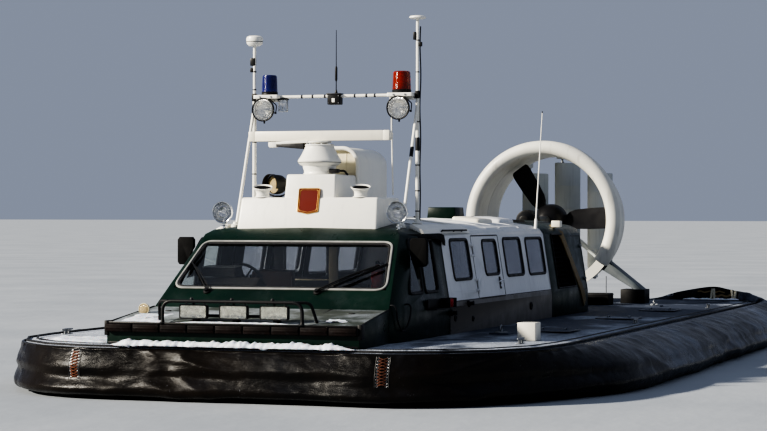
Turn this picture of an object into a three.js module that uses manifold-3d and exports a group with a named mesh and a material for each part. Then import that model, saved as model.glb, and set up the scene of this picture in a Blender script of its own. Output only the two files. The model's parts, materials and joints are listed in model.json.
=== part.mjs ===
// Hovercraft: a light patrol craft with one ducted propeller, parked on its skirt and landing skids.
// Millimetres, +Z up. The bow points to -Y and port is +X. The origin is on the ground amidships.
// Places along the craft are stations: distances aft of the front face of the bow fender.

import * as THREE from 'three';
import { ConvexGeometry } from 'three/addons/geometries/ConvexGeometry.js';
import { mergeVertices } from 'three/addons/utils/BufferGeometryUtils.js';
import Module from 'manifold-3d';

const wasm = await Module();
wasm.setup();

// Driving dimensions
const LENGTH = 11900;
const SKIRT_FRONT = -120;
const FENDER_Y = -LENGTH / 2 - SKIRT_FRONT;
const SEAT_GAP = 0.4;
const DECK_Z = 447;
const DECK_EDGE_Z = 425;
const CHINE_Z = 385;
const HULL_BOTTOM_Z = 120;
const CHINE_INSET = 400;
const FLOOR_Z = 165;
const HALF_BEAM = 2400;
const STERN_BELLY = 200;
const STERN = LENGTH + SKIRT_FRONT - STERN_BELLY;
const WALL = 40;
const PANEL = 6;

// The cabin's cross-section
const SIDE_FOOT = { x: 1100, z: 690 };
const SIDE_HEAD = { x: 1000, z: 1320 };
const WALL_LEAN = Math.atan2(SIDE_FOOT.x - SIDE_HEAD.x, SIDE_HEAD.z - SIDE_FOOT.z);
const ROOF_Z = 1480;

// Stations where the cabin's sections meet
const BOW_BOX_REAR = 885;
const CAB_REAR = 2450;
const CABIN_REAR = 6050;
const ENGINE_BAY_REAR = 7640;

// Propeller, duct and rudders
const SHAFT_Z = 1462;
const DUCT_FRONT = 9720;
const DUCT_SEAM = 10080;
const DUCT_REAR = 10650;
const DUCT_OUTER = 975;
const DUCT_THROAT = 785;
const DUCT_EXIT_INNER = 800;
const DUCT_EXIT_OUTER = 840;
const PROPELLER_STATION = 10210;
const PROPELLER_RADIUS = 760;
const BLADE_COUNT = 3;
const BLADE_REST = 2.5;
const RUDDER_STATION = 10790;
const RUDDER_REST = THREE.MathUtils.degToRad(22);
// Rudders from starboard to port: x, half height of the blade, height of its bearing above the shaft
const RUDDER_COLUMNS = ['x', 'half', 'bearing'];
const RUDDER_ROWS = [
  [-423, 600, 665],
  [0, 730, 775],
  [423, 600, 665],
];

// Paint and materials: colour, roughness, metalness
const PAINTS = {
  hullGrey: [0x8c979f, 0.6, 0.1],
  skirtRubber: [0x1b1a1c, 0.75, 0.0],
  darkGreen: [0x1d3b30, 0.45, 0.05],
  white: [0xe4e6e2, 0.4, 0.05],
  black: [0x17181a, 0.55, 0.1],
  cream: [0xe9e4d4, 0.45, 0.0],
  lamp: [0xd9dcd8, 0.15, 0.2],
  chrome: [0xc8cccf, 0.15, 0.9],
  glass: [0x5d6e72, 0.05, 0.0],
  blueLens: [0x1c3fa0, 0.15, 0.0],
  redLens: [0xc23a1d, 0.15, 0.0],
  greenLens: [0x1f8a4c, 0.15, 0.0],
  rudderGrey: [0x9aa3a8, 0.5, 0.1],
  castGrey: [0x6c7072, 0.6, 0.4],
  seatBrown: [0x5a3328, 0.8, 0.0],
};

const materials = Object.fromEntries(
  Object.entries(PAINTS).map(([name, [color, roughness, metalness]]) => [
    name,
    new THREE.MeshStandardMaterial({ name, color, roughness, metalness }),
  ]),
);

const craft = new THREE.Group();

function stationY(station) {
  return FENDER_Y + station;
}

// A closed solid for cutting and joining, made from a geometry
function solid(geometry) {
  const bare = geometry.index ? geometry.toNonIndexed() : geometry.clone();
  bare.deleteAttribute('normal');
  bare.deleteAttribute('uv');
  const merged = mergeVertices(bare, 1e-3);
  const vertProperties = new Float32Array(merged.attributes.position.array);
  const triVerts = new Uint32Array(merged.index.array);
  return new wasm.Manifold(new wasm.Mesh({ numProp: 3, vertProperties, triVerts }));
}

function geometryOf(body) {
  const mesh = body.getMesh();
  const geometry = new THREE.BufferGeometry();
  geometry.setAttribute('position', new THREE.BufferAttribute(mesh.vertProperties.slice(), 3));
  geometry.setIndex(new THREE.BufferAttribute(mesh.triVerts.slice(), 1));
  geometry.computeVertexNormals();
  return geometry;
}

function addPiece(name, body, paint, place = null) {
  const geometry = body.isBufferGeometry ? body : geometryOf(body);
  const mesh = new THREE.Mesh(geometry, materials[paint]);
  mesh.name = name;
  if (place) mesh.position.copy(place);
  craft.add(mesh);
  return mesh;
}

function joined(...bodies) {
  return bodies.reduce((sum, body) => sum.add(body));
}

// A box between two corners, given as x, station and z
function block([x0, d0, z0], [x1, d1, z1]) {
  const geometry = new THREE.BoxGeometry(Math.abs(x1 - x0), Math.abs(d1 - d0), Math.abs(z1 - z0));
  geometry.translate((x0 + x1) / 2, stationY((d0 + d1) / 2), (z0 + z1) / 2);
  return solid(geometry);
}

// The smallest convex body around points given as x, station and z
function convex(points) {
  const corners = points.map(([x, d, z]) => new THREE.Vector3(x, stationY(d), z));
  return solid(new ConvexGeometry(corners));
}

function mirrored(points) {
  return points.concat(points.map(([x, d, z]) => [-x, d, z]));
}

function outlineShape(outline) {
  return new THREE.Shape(outline.map(([a, b]) => new THREE.Vector2(a, b)));
}

// A prism along the craft from a cross-section of x, z pairs
function prismAlong(section, d0, d1) {
  const geometry = new THREE.ExtrudeGeometry(outlineShape(section), {
    depth: d1 - d0, bevelEnabled: false,
  });
  geometry.rotateX(Math.PI / 2);
  geometry.translate(0, stationY(d1), 0);
  return solid(geometry);
}

// A prism across the craft from a side view: either station, z pairs or a shape drawn in them
function prismAcross(profile, x0, x1, curveSegments = 4) {
  const shape = Array.isArray(profile) ? outlineShape(profile) : profile;
  const geometry = new THREE.ExtrudeGeometry(shape, {
    depth: x1 - x0, bevelEnabled: false, curveSegments,
  });
  geometry.applyMatrix4(new THREE.Matrix4().set(
    0, 0, 1, x0,
    1, 0, 0, FENDER_Y,
    0, 1, 0, 0,
    0, 0, 0, 1,
  ));
  return solid(geometry);
}

// A round bar between two points given as x, station and z; it may taper
function rod(from, to, radius, sides = 10, endRadius = radius) {
  const a = new THREE.Vector3(from[0], stationY(from[1]), from[2]);
  const b = new THREE.Vector3(to[0], stationY(to[1]), to[2]);
  const geometry = new THREE.CylinderGeometry(endRadius, radius, a.distanceTo(b), sides);
  const turn = new THREE.Quaternion().setFromUnitVectors(
    new THREE.Vector3(0, 1, 0), b.clone().sub(a).normalize(),
  );
  geometry.applyQuaternion(turn);
  geometry.translate((a.x + b.x) / 2, (a.y + b.y) / 2, (a.z + b.z) / 2);
  return solid(geometry);
}

// A bent tube: straight bars with a ball at each bend
function bentTube(points, radius, sides = 10) {
  const bars = points.slice(1).map((point, i) => rod(points[i], point, radius, sides));
  const bends = points.slice(1, -1).map(([x, d, z]) => {
    const ball = new THREE.SphereGeometry(radius, sides, 6);
    ball.translate(x, stationY(d), z);
    return solid(ball);
  });
  return joined(...bars, ...bends);
}

// A round body turned about an upright axis, from radius, height pairs
function turned(profile, [x, d], sides = 20) {
  const geometry = new THREE.LatheGeometry(profile.map(([r, z]) => new THREE.Vector2(r, z)), sides);
  geometry.rotateX(Math.PI / 2);
  geometry.translate(x, stationY(d), 0);
  return solid(geometry);
}

// A skin over rings of points, each ring the same length, closed at both ends or joined in a circle
function loft(rings, closedLoop = false) {
  const count = rings[0].length;
  const positions = rings.flat().flatMap((p) => [p.x, p.y, p.z]);
  const index = [];
  const last = closedLoop ? rings.length : rings.length - 1;
  for (let i = 0; i < last; i += 1) {
    const here = i * count;
    const next = ((i + 1) % rings.length) * count;
    for (let j = 0; j < count; j += 1) {
      const k = (j + 1) % count;
      index.push(here + j, here + k, next + k, here + j, next + k, next + j);
    }
  }
  const fan = (ring, start, turn) => {
    const centre = ring.reduce((sum, p) => sum.add(p), new THREE.Vector3()).divideScalar(count);
    const hub = positions.push(centre.x, centre.y, centre.z) / 3 - 1;
    for (let j = 0; j < count; j += 1) {
      const pair = [start + j, start + ((j + 1) % count)];
      if (turn) pair.reverse();
      index.push(hub, ...pair);
    }
  };
  if (!closedLoop) {
    fan(rings[0], 0, true);
    fan(rings.at(-1), (rings.length - 1) * count, false);
  }
  const geometry = new THREE.BufferGeometry();
  geometry.setAttribute('position', new THREE.Float32BufferAttribute(positions, 3));
  geometry.setIndex(index);
  const body = solid(geometry);
  if (body.volume() >= 0) return body;
  geometry.setIndex(index.reverse());
  return solid(geometry);
}

// The deck's edge, port half, from the bow round to the stern.
// belly: how far the skirt stands out; foot: where it meets the ground, both outward from the edge.
// crest: the height of its upper fold. level: how far in from the edge the deck is flat.
const EDGE_COLUMNS = ['x', 'd', 'belly', 'foot', 'crest', 'level'];
const EDGE_ROWS = [
  [0, 0, -SKIRT_FRONT, -40, 420, 60],
  [700, 0, -SKIRT_FRONT, -45, 420, 60],
  [1300, 0, -SKIRT_FRONT, -60, 420, 60],
  [1720, 165, 105, -80, 420, 90],
  [2080, 500, 75, -90, 420, 200],
  [2310, 960, 90, -40, 420, 480],
  [2390, 1560, 270, 170, 425, 900],
  [HALF_BEAM, 2300, 460, 380, 425, 1050],
  [HALF_BEAM, 3800, 520, 430, 420, 1050],
  [HALF_BEAM, 5600, 515, 430, 420, 1050],
  [HALF_BEAM, 7400, 520, 430, 420, 1050],
  [HALF_BEAM, 9300, 515, 430, 425, 1050],
  [HALF_BEAM, 11140, 400, 340, 445, 600],
  [2340, 11365, 330, 260, 490, 300],
  [2190, 11520, 260, 180, 535, 140],
  [1970, STERN, STERN_BELLY, 140, 585, 80],
  [1750, STERN, STERN_BELLY, 120, 615, 60],
  [1330, STERN, STERN_BELLY, 120, 545, 60],
  [960, STERN, STERN_BELLY, 120, 450, 60],
  [0, STERN, STERN_BELLY, 120, 430, 60],
];
const BOW_SPLIT = 6;
const STERN_SPLIT = 12;

function edgeStations() {
  const rows = EDGE_ROWS.map((row) => Object.fromEntries(EDGE_COLUMNS.map((key, i) => [key, row[i]])));
  const away = (a, b) => new THREE.Vector2(b.d - a.d, -(b.x - a.x)).normalize();
  return rows.map((row, i) => {
    const before = i > 0 ? away(rows[i - 1], row) : new THREE.Vector2(0, -1);
    const after = i < rows.length - 1 ? away(row, rows[i + 1]) : new THREE.Vector2(0, 1);
    const out = before.clone().add(after).normalize();
    out.divideScalar(out.dot(before));
    return { ...row, out };
  });
}

const EDGE = edgeStations();

function edgePoint(row, outward, z, side) {
  return new THREE.Vector3(side * (row.x + outward * row.out.x), stationY(row.d + outward * row.out.y), z);
}

// The hull: a buoyancy tank with sloping sides, a well for the cabin floor and two landing skids
function hullBody() {
  const around = (outward, z) => {
    const at = (row, side) => {
      const reach = typeof outward === 'function' ? outward(row) : outward;
      return edgePoint(row, reach, z, side);
    };
    const port = EDGE.map((row) => at(row, 1));
    const starboard = EDGE.slice(1, -1).map((row) => at(row, -1)).reverse();
    return port.concat(starboard);
  };
  const tank = loft([
    around(-CHINE_INSET, HULL_BOTTOM_Z),
    around(0, CHINE_Z),
    around(0, DECK_EDGE_Z),
    around((row) => -row.level, DECK_Z),
  ]);
  const skids = SKIDS.map(({ x, width, d0, d1 }) => block(
    [x - width / 2, d0, 0], [x + width / 2, d1, HULL_BOTTOM_Z + 20],
  ));
  const well = block([-CABIN_WELL.halfWidth, CABIN_WELL.d0, FLOOR_Z],
    [CABIN_WELL.halfWidth, CABIN_WELL.d1, DECK_Z + 50]);
  const pads = LIFT_PADS.flatMap(({ x, d }) => [1, -1].map((side) => block(
    [side * x - PAD_SIZE / 2, d - PAD_SIZE / 2, DECK_EDGE_Z - 20],
    [side * x + PAD_SIZE / 2, d + PAD_SIZE / 2, DECK_Z + PAD_RISE],
  )));
  return joined(tank, ...skids, ...pads).subtract(well);
}

// Lifting plates welded to the side decks, each side
const LIFT_PADS = [{ x: 1500, d: 2700 }, { x: 1500, d: 9300 }];
const PAD_SIZE = 180;
const PAD_RISE = 12;
const SKIDS = [-1250, 0, 1250].map((x) => ({ x, width: 220, d0: 1600, d1: 10500 }));
const CABIN_WELL = { halfWidth: 930, d0: 1250, d1: 5920 };

// One section of the skirt: a slumped bag hung from the deck's edge, down to the ground and back
const SKIRT_UNDER = [[-235, 0], [-330, 40], [-CHINE_INSET, HULL_BOTTOM_Z - 8]];
const SKIRT_TOP_Z = DECK_EDGE_Z - 5;

function skirtSection(row, side) {
  const { belly, foot, crest } = row;
  const upper = Math.max(crest, SKIRT_TOP_Z);
  const points = [
    [SEAT_GAP, CHINE_Z - 4],
    [SEAT_GAP, SKIRT_TOP_Z],
    [belly * 0.12 + 12, upper - 1],
    [belly * 0.42, upper * 0.93],
    [belly * 0.72, upper * 0.76],
    [belly * 0.93, upper * 0.55],
    [belly, upper * 0.34],
    [belly * 0.95, upper * 0.14],
    [belly * 0.5 + foot * 0.5, 12],
    [foot, 0],
    ...SKIRT_UNDER,
  ];
  return points.map(([outward, z]) => edgePoint(row, outward, z, side));
}

function skirtRun(rows, side) {
  return loft(rows.map((row) => skirtSection(row, side)));
}

// The bow skirt runs from one side round to the other
function bowSkirt() {
  const rows = EDGE.slice(0, BOW_SPLIT + 1);
  const starboard = rows.slice(1).reverse().map((row) => skirtSection(row, -1));
  return loft(starboard.concat(rows.map((row) => skirtSection(row, 1))));
}

function sternSkirt() {
  const rows = EDGE.slice(STERN_SPLIT).map((row, i) => (i === 0 ? { ...row, d: row.d + SEAT_GAP } : row));
  const starboard = rows.slice(0, -1).map((row) => skirtSection(row, -1));
  const port = [...rows].reverse().map((row) => skirtSection(row, 1));
  return loft(starboard.concat(port));
}

function sideSkirt(side) {
  const rows = EDGE.slice(BOW_SPLIT, STERN_SPLIT + 1);
  const first = { ...rows[0], d: rows[0].d + SEAT_GAP };
  return skirtRun([first, ...rows.slice(1)], side);
}

// The cross-section of the cabin and engine bay, port half from the deck up to the roof's crown
function cabinHalf(inset, footZ) {
  const lean = inset / Math.cos(WALL_LEAN);
  return [
    [SIDE_FOOT.x - inset, footZ],
    [SIDE_FOOT.x - lean, SIDE_FOOT.z],
    [SIDE_HEAD.x - lean, SIDE_HEAD.z],
    [962 - inset, 1372 - inset * 0.7],
    [880 - inset * 0.7, 1408 - inset],
    [520, 1458 - inset],
    [0, ROOF_Z - inset],
  ];
}

function cabinSection(inset, footZ) {
  const port = cabinHalf(inset, footZ);
  const starboard = port.slice(0, -1).map(([x, z]) => [-x, z]);
  return port.concat(starboard.reverse());
}

function wallX(z) {
  const along = (z - SIDE_FOOT.z) / (SIDE_HEAD.z - SIDE_FOOT.z);
  return SIDE_FOOT.x + (SIDE_HEAD.x - SIDE_FOOT.x) * along;
}

// A point at a depth square to the leaning side wall, from a height on its outer face
function inWall(side, z, depth) {
  return [side * (wallX(z) - depth * Math.cos(WALL_LEAN)), z - depth * Math.sin(WALL_LEAN)];
}

// A slab lying in the leaning side wall, between two depths, with its edges square to the wall
function wallSlab(side, d0, d1, z0, z1, outer, inner) {
  const section = [[z0, outer], [z1, outer], [z1, inner], [z0, inner]];
  return prismAlong(section.map(([z, depth]) => inWall(side, z, depth)), d0, d1);
}

function roundedWindow(d0, d1, z0, z1, radius) {
  const shape = new THREE.Shape();
  shape.moveTo(d0 + radius, z0);
  shape.lineTo(d1 - radius, z0);
  shape.absarc(d1 - radius, z0 + radius, radius, -Math.PI / 2, 0);
  shape.lineTo(d1, z1 - radius);
  shape.absarc(d1 - radius, z1 - radius, radius, 0, Math.PI / 2);
  shape.lineTo(d0 + radius, z1);
  shape.absarc(d0 + radius, z1 - radius, radius, Math.PI / 2, Math.PI);
  shape.lineTo(d0, z0 + radius);
  shape.absarc(d0 + radius, z0 + radius, radius, Math.PI, Math.PI * 1.5);
  return shape;
}

const WINDOW_RADIUS = 55;
const CAB_PANES = [
  [[1340, 838], [1745, 838], [1745, 1300], [1660, 1300]],
  [[1800, 838], [2180, 838], [2180, 1300], [1800, 1300]],
];
// Windows of the white cabin: d0, d1, z0, z1
const CABIN_WINDOWS = [
  [2692, 3256, 920, 1291],
  [4444, 5078, 916, 1289],
  [5270, 5924, 910, 1285],
];
const DOOR = { d0: 3392, d1: 4288, z0: 742, z1: 1312, gap: 6, latchGap: 8 };
const DOOR_WINDOW = [3714, 4192, 943, 1277];

// The windshield: corners of its opening on the raked panel, port side
const RAKE_FOOT = { d: BOW_BOX_REAR, z: 724, x: 1058 };
const RAKE_HEAD = { d: 1607, z: 1339, x: 905 };
const RAKE = new THREE.Vector2(RAKE_HEAD.d - RAKE_FOOT.d, RAKE_HEAD.z - RAKE_FOOT.z).normalize();
const SHIELD_OPENING = [
  { x: 966, along: 245 },
  { x: 868, along: 842 },
];

function onRake(x, along, depth) {
  const d = RAKE_FOOT.d + RAKE.x * along + RAKE.y * depth;
  const z = RAKE_FOOT.z + RAKE.y * along - RAKE.x * depth;
  return [x, d, z];
}

function shieldSlab(trim, outer, inner) {
  const [foot, head] = SHIELD_OPENING;
  const corners = [
    [foot.x - trim, foot.along + trim], [head.x - trim, head.along - trim],
  ];
  return convex(mirrored(corners.flatMap(([x, along]) => [
    onRake(x, along, outer), onRake(x, along, inner),
  ])));
}

function cabOuter() {
  const rear = cabinHalf(0, DECK_Z).map(([x, z]) => [x, CAB_REAR, z]);
  const front = [
    [RAKE_FOOT.x, RAKE_FOOT.d, DECK_Z],
    [RAKE_FOOT.x, RAKE_FOOT.d, RAKE_FOOT.z],
    [RAKE_HEAD.x, RAKE_HEAD.d, RAKE_HEAD.z],
    [850, 1675, 1378],
    [0, 1675, 1392],
    [SIDE_FOOT.x, 1080, DECK_Z],
    [SIDE_FOOT.x, 1080, SIDE_FOOT.z],
    [SIDE_HEAD.x, 1800, SIDE_HEAD.z],
  ];
  return convex(mirrored(front.concat(rear)));
}

function cabInner() {
  const rear = cabinHalf(WALL, DECK_Z - 20).map(([x, z]) => [x, CAB_REAR + 20, z]);
  const front = [
    [RAKE_FOOT.x - WALL, RAKE_FOOT.d + WALL, DECK_Z - 20],
    [RAKE_FOOT.x - WALL, RAKE_FOOT.d + WALL, RAKE_FOOT.z - 20],
    [RAKE_HEAD.x - WALL, RAKE_HEAD.d + WALL, RAKE_HEAD.z - WALL],
    [810, 1715, 1378 - WALL],
    [0, 1715, 1392 - WALL],
    [SIDE_FOOT.x - WALL, 1120, DECK_Z - 20],
    [SIDE_FOOT.x - WALL, 1120, SIDE_FOOT.z],
    [SIDE_HEAD.x - WALL, 1840, SIDE_HEAD.z],
  ];
  return convex(mirrored(front.concat(rear)));
}

const THROUGH = 1300;

function bothSides(profile) {
  return prismAcross(profile, -THROUGH, THROUGH);
}

function standingOnDeck() {
  return block([-3000, -500, DECK_Z + SEAT_GAP], [3000, 12500, 4000]);
}

function cabFront() {
  const cutters = [cabInner(), shieldSlab(0, -80, 120), ...CAB_PANES.map(bothSides)];
  const shell = cutters.reduce((body, cutter) => body.subtract(cutter), cabOuter());
  return shell.intersect(standingOnDeck());
}

function cabinOuter() {
  return prismAlong(cabinSection(0, DECK_Z + SEAT_GAP), CAB_REAR + SEAT_GAP, CABIN_REAR - SEAT_GAP);
}

function doorOpening(side) {
  return wallSlab(side, DOOR.d0 - DOOR.gap, DOOR.d1 + DOOR.latchGap, DOOR.z0 - DOOR.gap,
    DOOR.z1 + DOOR.gap, -60, WALL + 60);
}

// Door hinges: the pin line stands just outside the wall, in the gap ahead of the door
const HINGE = { out: 13, radius: 9, heights: [860, 1180], barrel: 70, lug: 25, leaf: 60 };
const HINGE_STATION = DOOR.d0 - DOOR.gap / 2;

function hingePoint(side, z) {
  const [x, height] = inWall(side, z, -HINGE.out);
  return [x, HINGE_STATION, height];
}

function hingeBarrel(side, z0, z1) {
  return rod(hingePoint(side, z0), hingePoint(side, z1), HINGE.radius, 12);
}

function hingeLeaf(side, z0, z1, d0, d1) {
  return wallSlab(side, d0, d1, z0, z1, -HINGE.out - 3, 2);
}

function cabinShell() {
  const hollow = prismAlong(cabinSection(WALL, DECK_Z - 20), CAB_REAR - 20, CABIN_REAR - WALL);
  const windows = CABIN_WINDOWS.map((window) => bothSides(roundedWindow(...window, WINDOW_RADIUS)));
  const doors = [doorOpening(1), doorOpening(-1)];
  const cutters = [hollow, ...windows, ...doors];
  const shell = cutters.reduce((body, cutter) => body.subtract(cutter), cabinOuter());
  const lugs = [1, -1].flatMap((side) => HINGE.heights.flatMap((z) => {
    const half = HINGE.barrel / 2;
    const runs = [[z - half - HINGE.lug, z - half - SEAT_GAP], [z + half + SEAT_GAP, z + half + HINGE.lug]];
    return runs.flatMap(([z0, z1]) => [
      hingeBarrel(side, z0, z1),
      hingeLeaf(side, z0, z1, HINGE_STATION - HINGE.leaf, HINGE_STATION),
    ]);
  }));
  return joined(shell, ...lugs);
}

function door(side) {
  const slab = wallSlab(side, DOOR.d0, DOOR.d1, DOOR.z0, DOOR.z1, 0, WALL);
  const window = bothSides(roundedWindow(...DOOR_WINDOW, WINDOW_RADIUS));
  const half = HINGE.barrel / 2;
  const hinges = HINGE.heights.flatMap((z) => [
    hingeBarrel(side, z - half, z + half),
    hingeLeaf(side, z - half, z + half, HINGE_STATION, HINGE_STATION + HINGE.leaf),
  ]);
  return joined(slab.subtract(window), ...hinges);
}

function sideGlass(side, d0, d1, z0, z1) {
  return wallSlab(side, d0, d1, z0, z1, WALL + SEAT_GAP, WALL + SEAT_GAP + PANEL);
}

// The outside of the cabin and engine bay, raised by the seating gap
function roofBody() {
  const aft = prismAlong(cabinSection(0, DECK_Z), CAB_REAR, ENGINE_BAY_REAR);
  return joined(cabOuter(), aft).translate([0, 0, SEAT_GAP]);
}

// What stands on the roof is trimmed to the roof and its cap
function onRoof(body) {
  return body.subtract(roofBody()).subtract(roofCap().translate([0, 0, SEAT_GAP]));
}

// Bow
const BOW = { halfFront: 1100, halfRear: RAKE_FOOT.x, frontTop: 622, rearTop: RAKE_FOOT.z, depth: 50 };
const FENDER = { z0: 548, z1: 618 };
const LAMPS = { xs: [-352, 0, 352], width: 245, height: 118, depth: 100, z: 721, d: 152 };

function bowBox() {
  const { halfFront, halfRear, frontTop, rearTop, depth } = BOW;
  const foot = DECK_Z + SEAT_GAP;
  return convex(mirrored([
    [halfFront, depth, foot], [halfFront, depth, frontTop],
    [halfRear, BOW_BOX_REAR - SEAT_GAP, foot], [halfRear, BOW_BOX_REAR - SEAT_GAP, rearTop],
    [halfFront, 500, foot], [halfFront - 12, 500, 683],
  ]));
}

function bowFender() {
  return block([-BOW.halfFront, 0, FENDER.z0], [BOW.halfFront, BOW.depth - SEAT_GAP, FENDER.z1]);
}

// Three lamps on one rail, each a tapered housing behind a flat face
function bowLamps() {
  const { xs, width, height, depth, z, d } = LAMPS;
  const housings = xs.map((x) => convex([-1, 1].flatMap((across) => [-1, 1].flatMap((up) => [
    [x + across * width / 2, d - depth / 2, z + up * height / 2],
    [x + across * width / 2, d, z + up * height / 2],
    [x + across * width * 0.4, d + depth / 2, z + up * height * 0.36],
  ]))));
  const railZ = z - height * 0.3;
  const rail = block([xs[0], d + depth / 2 - 12, railZ - 12], [xs.at(-1), d + depth / 2 + 10, railZ + 12]);
  const feet = xs.map((x) => block([x - 25, d - 10, 600], [x + 25, d + depth / 2 + 8, railZ]));
  return joined(...housings, rail, ...feet).subtract(bowBox().translate([0, 0, SEAT_GAP]));
}

const GUARD = { halfWidth: 608, d: 68, foot: 600, top: 806, radius: 14 };

function lampGuard() {
  const { halfWidth, d, foot, top, radius } = GUARD;
  const tube = bentTube([
    [-halfWidth, d, foot], [-halfWidth, d, top - 60], [-halfWidth + 60, d, top],
    [halfWidth - 60, d, top], [halfWidth, d, top - 60], [halfWidth, d, foot],
  ], radius);
  return tube.subtract(bowBox().translate([0, 0, SEAT_GAP]));
}

// Roof furniture
const FAIRING = { footHalf: 657, footD: 1718, topHalf: 642, topD: 1800, rear: 2390, z: 1662 };
const STEP = { halfFoot: 242, halfTop: 232, d0: 1806, topD: 1851, d1: 2380, z: 1867 };

function roofFairing() {
  const { footHalf, footD, topHalf, topD, rear, z } = FAIRING;
  const lower = convex(mirrored([
    [footHalf, footD, 1330], [footHalf, footD, 1361], [topHalf, topD, z],
    [topHalf, rear, z], [footHalf, rear, 1330],
  ]));
  const step = convex(mirrored([
    [STEP.halfFoot, STEP.d0, z - 40], [STEP.halfTop, STEP.topD, STEP.z],
    [STEP.halfTop, STEP.d1, STEP.z], [STEP.halfFoot, STEP.d1, z - 40],
  ]));
  return onRoof(joined(lower, step));
}

// A ventilator: a neck that flares to a mouth tilted forward
const COWL = { x: 462, d: 1858, neck: 56, mouth: 88, height: 108, tilt: 16 };

function ventCowl(side) {
  const { x, d, neck, mouth, height, tilt } = COWL;
  const foot = FAIRING.z + SEAT_GAP;
  const funnel = turned([
    [0, 0], [neck + 6, 0], [neck, 12], [neck, 42], [mouth - 6, 78],
    [mouth, 92], [mouth, height + 60], [0, height + 60],
  ], [side * x, d]).translate([0, 0, foot]);
  const bore = turned([
    [0, 40], [neck - 8, 40], [mouth - 12, 84], [mouth - 8, height + 80], [0, height + 80],
  ], [side * x, d]).translate([0, 0, foot]);
  const above = new THREE.BoxGeometry(400, 400, 200);
  above.translate(0, 0, 100);
  above.rotateX(THREE.MathUtils.degToRad(tilt));
  above.translate(side * x, stationY(d), foot + height - 10);
  return funnel.subtract(bore).subtract(solid(above));
}

const RADAR = { d: 2065, foot: STEP.z, top: 2142, scannerZ: 2212, halfLength: 670, height: 86 };

function radarPedestal() {
  const foot = RADAR.foot + SEAT_GAP;
  return turned([
    [0, foot], [122, foot], [128, foot + 22], [162, foot + 92], [166, foot + 112], [150, foot + 150],
    [104, foot + 226], [98, RADAR.top - 14], [60, RADAR.top - 12], [58, RADAR.top], [0, RADAR.top],
  ], [0, RADAR.d], 24);
}

// The scanner is drawn about its own turning axis, with the spindle's foot just above the collar
function radarScanner() {
  const foot = RADAR.top + SEAT_GAP;
  const { halfLength, scannerZ, height } = RADAR;
  const spindle = rod([0, 0, foot], [0, 0, scannerZ - 30], 38, 16);
  const bracket = block([-340, -35, scannerZ - height / 2 - 10], [340, 35, scannerZ - height / 2 + 4]);
  const bar = convex(mirrored([
    [halfLength, -42, scannerZ - height / 2], [halfLength, -42, scannerZ + height / 2],
    [halfLength, 48, scannerZ - height * 0.42], [halfLength, 48, scannerZ + height * 0.42],
    [halfLength - 60, 62, scannerZ - height * 0.28], [halfLength - 60, 62, scannerZ + height * 0.28],
  ]));
  return joined(spindle, bracket, bar).translate([0, -stationY(0), 0]);
}

// An arched intake scoop behind the fairing, open to the front
const SCOOP = { halfWidth: 250, d0: 2395, d1: 3180, z: 2122, corner: 150, shell: 26, heel: 110 };

function archSection(inset, foot) {
  const { halfWidth, z, corner } = SCOOP;
  const radius = corner - inset * 0.5;
  const steps = 6;
  const half = halfWidth - inset;
  const top = z - inset;
  const points = [[half, foot]];
  for (let i = 0; i <= steps; i += 1) {
    const a = (Math.PI / 2) * (i / steps);
    points.push([half - radius + radius * Math.cos(a), top - radius + radius * Math.sin(a)]);
  }
  return points.concat(points.map(([x, h]) => [-x, h]).reverse());
}

function intakeScoop() {
  const { d0, d1, z, shell, heel } = SCOOP;
  const outer = prismAlong(archSection(0, 1400), d0, d1).intersect(bothSides([
    [d0, 1380], [d1, 1380], [d1, z - heel], [d1 - heel * 0.3, z - heel * 0.35],
    [d1 - heel, z + 1], [d0, z + 1],
  ]));
  const inner = prismAlong(archSection(shell, 1560), d0 - 20, d1 - heel);
  return onRoof(outer.subtract(inner));
}

// A raised cap over the shoulders of the forward roof, ending in the hoop ahead of the door
const CAP = { d0: 2010, d1: 3384, rise: 15, inner: 862, lowest: 1345 };

function roofCap() {
  const grown = prismAlong(cabinSection(-CAP.rise, DECK_Z), CAP.d0, CAP.d1);
  const rails = [1, -1].map((side) => block(
    [side * CAP.inner, CAP.d0, CAP.lowest], [side * 1100, CAP.d1, 1500],
  ));
  const hoop = block([-1100, CAP.d1 - 45, CAP.lowest], [1100, CAP.d1, 1600]);
  return grown.intersect(joined(...rails, hoop)).subtract(roofBody());
}

// The light mast: two posts, a crossbeam, forward stays and a shelf at each post
const MAST = {
  x: 788, d: 2455, beamZ: 2588, post: 18, tube: 14, beamHalf: 800, stayFoot: 2012, stayHead: 2510,
  starboardTop: 3060, portTop: 3265,
};
const SHELF = { x: 645, halfWidth: 123, thickness: 36, depth: 180 };

function lightMast() {
  const { x, d, beamZ, post, tube, beamHalf, stayFoot, stayHead, starboardTop, portTop } = MAST;
  const tops = [[x, portTop], [-x, starboardTop]];
  const legs = tops.flatMap(([px, top]) => [
    rod([px, d, 1370], [px, d, beamZ], post, 12),
    rod([px, d, beamZ - 10], [px, d, top], tube, 12),
    rod([px, stayFoot, 1340], [px, d, stayHead], tube, 10),
  ]);
  const beam = rod([-beamHalf, d, beamZ], [beamHalf, d, beamZ], tube, 12);
  const shelves = [1, -1].map((side) => block(
    [side * SHELF.x - SHELF.halfWidth, d - SHELF.depth / 2, beamZ - SHELF.thickness / 2],
    [side * SHELF.x + SHELF.halfWidth, d + SHELF.depth / 2, beamZ + SHELF.thickness / 2],
  ));
  return onRoof(joined(...legs, beam, ...shelves));
}

const SHELF_TOP = MAST.beamZ + SHELF.thickness / 2;

function beacon(x, radius, height) {
  const foot = SHELF_TOP + SEAT_GAP;
  return turned([
    [0, foot], [radius * 1.05, foot], [radius * 1.05, foot + 28], [radius, foot + 34],
    [radius * 0.93, foot + height - 22], [radius * 0.72, foot + height - 4], [0, foot + height],
  ], [x, MAST.d], 18);
}

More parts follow.
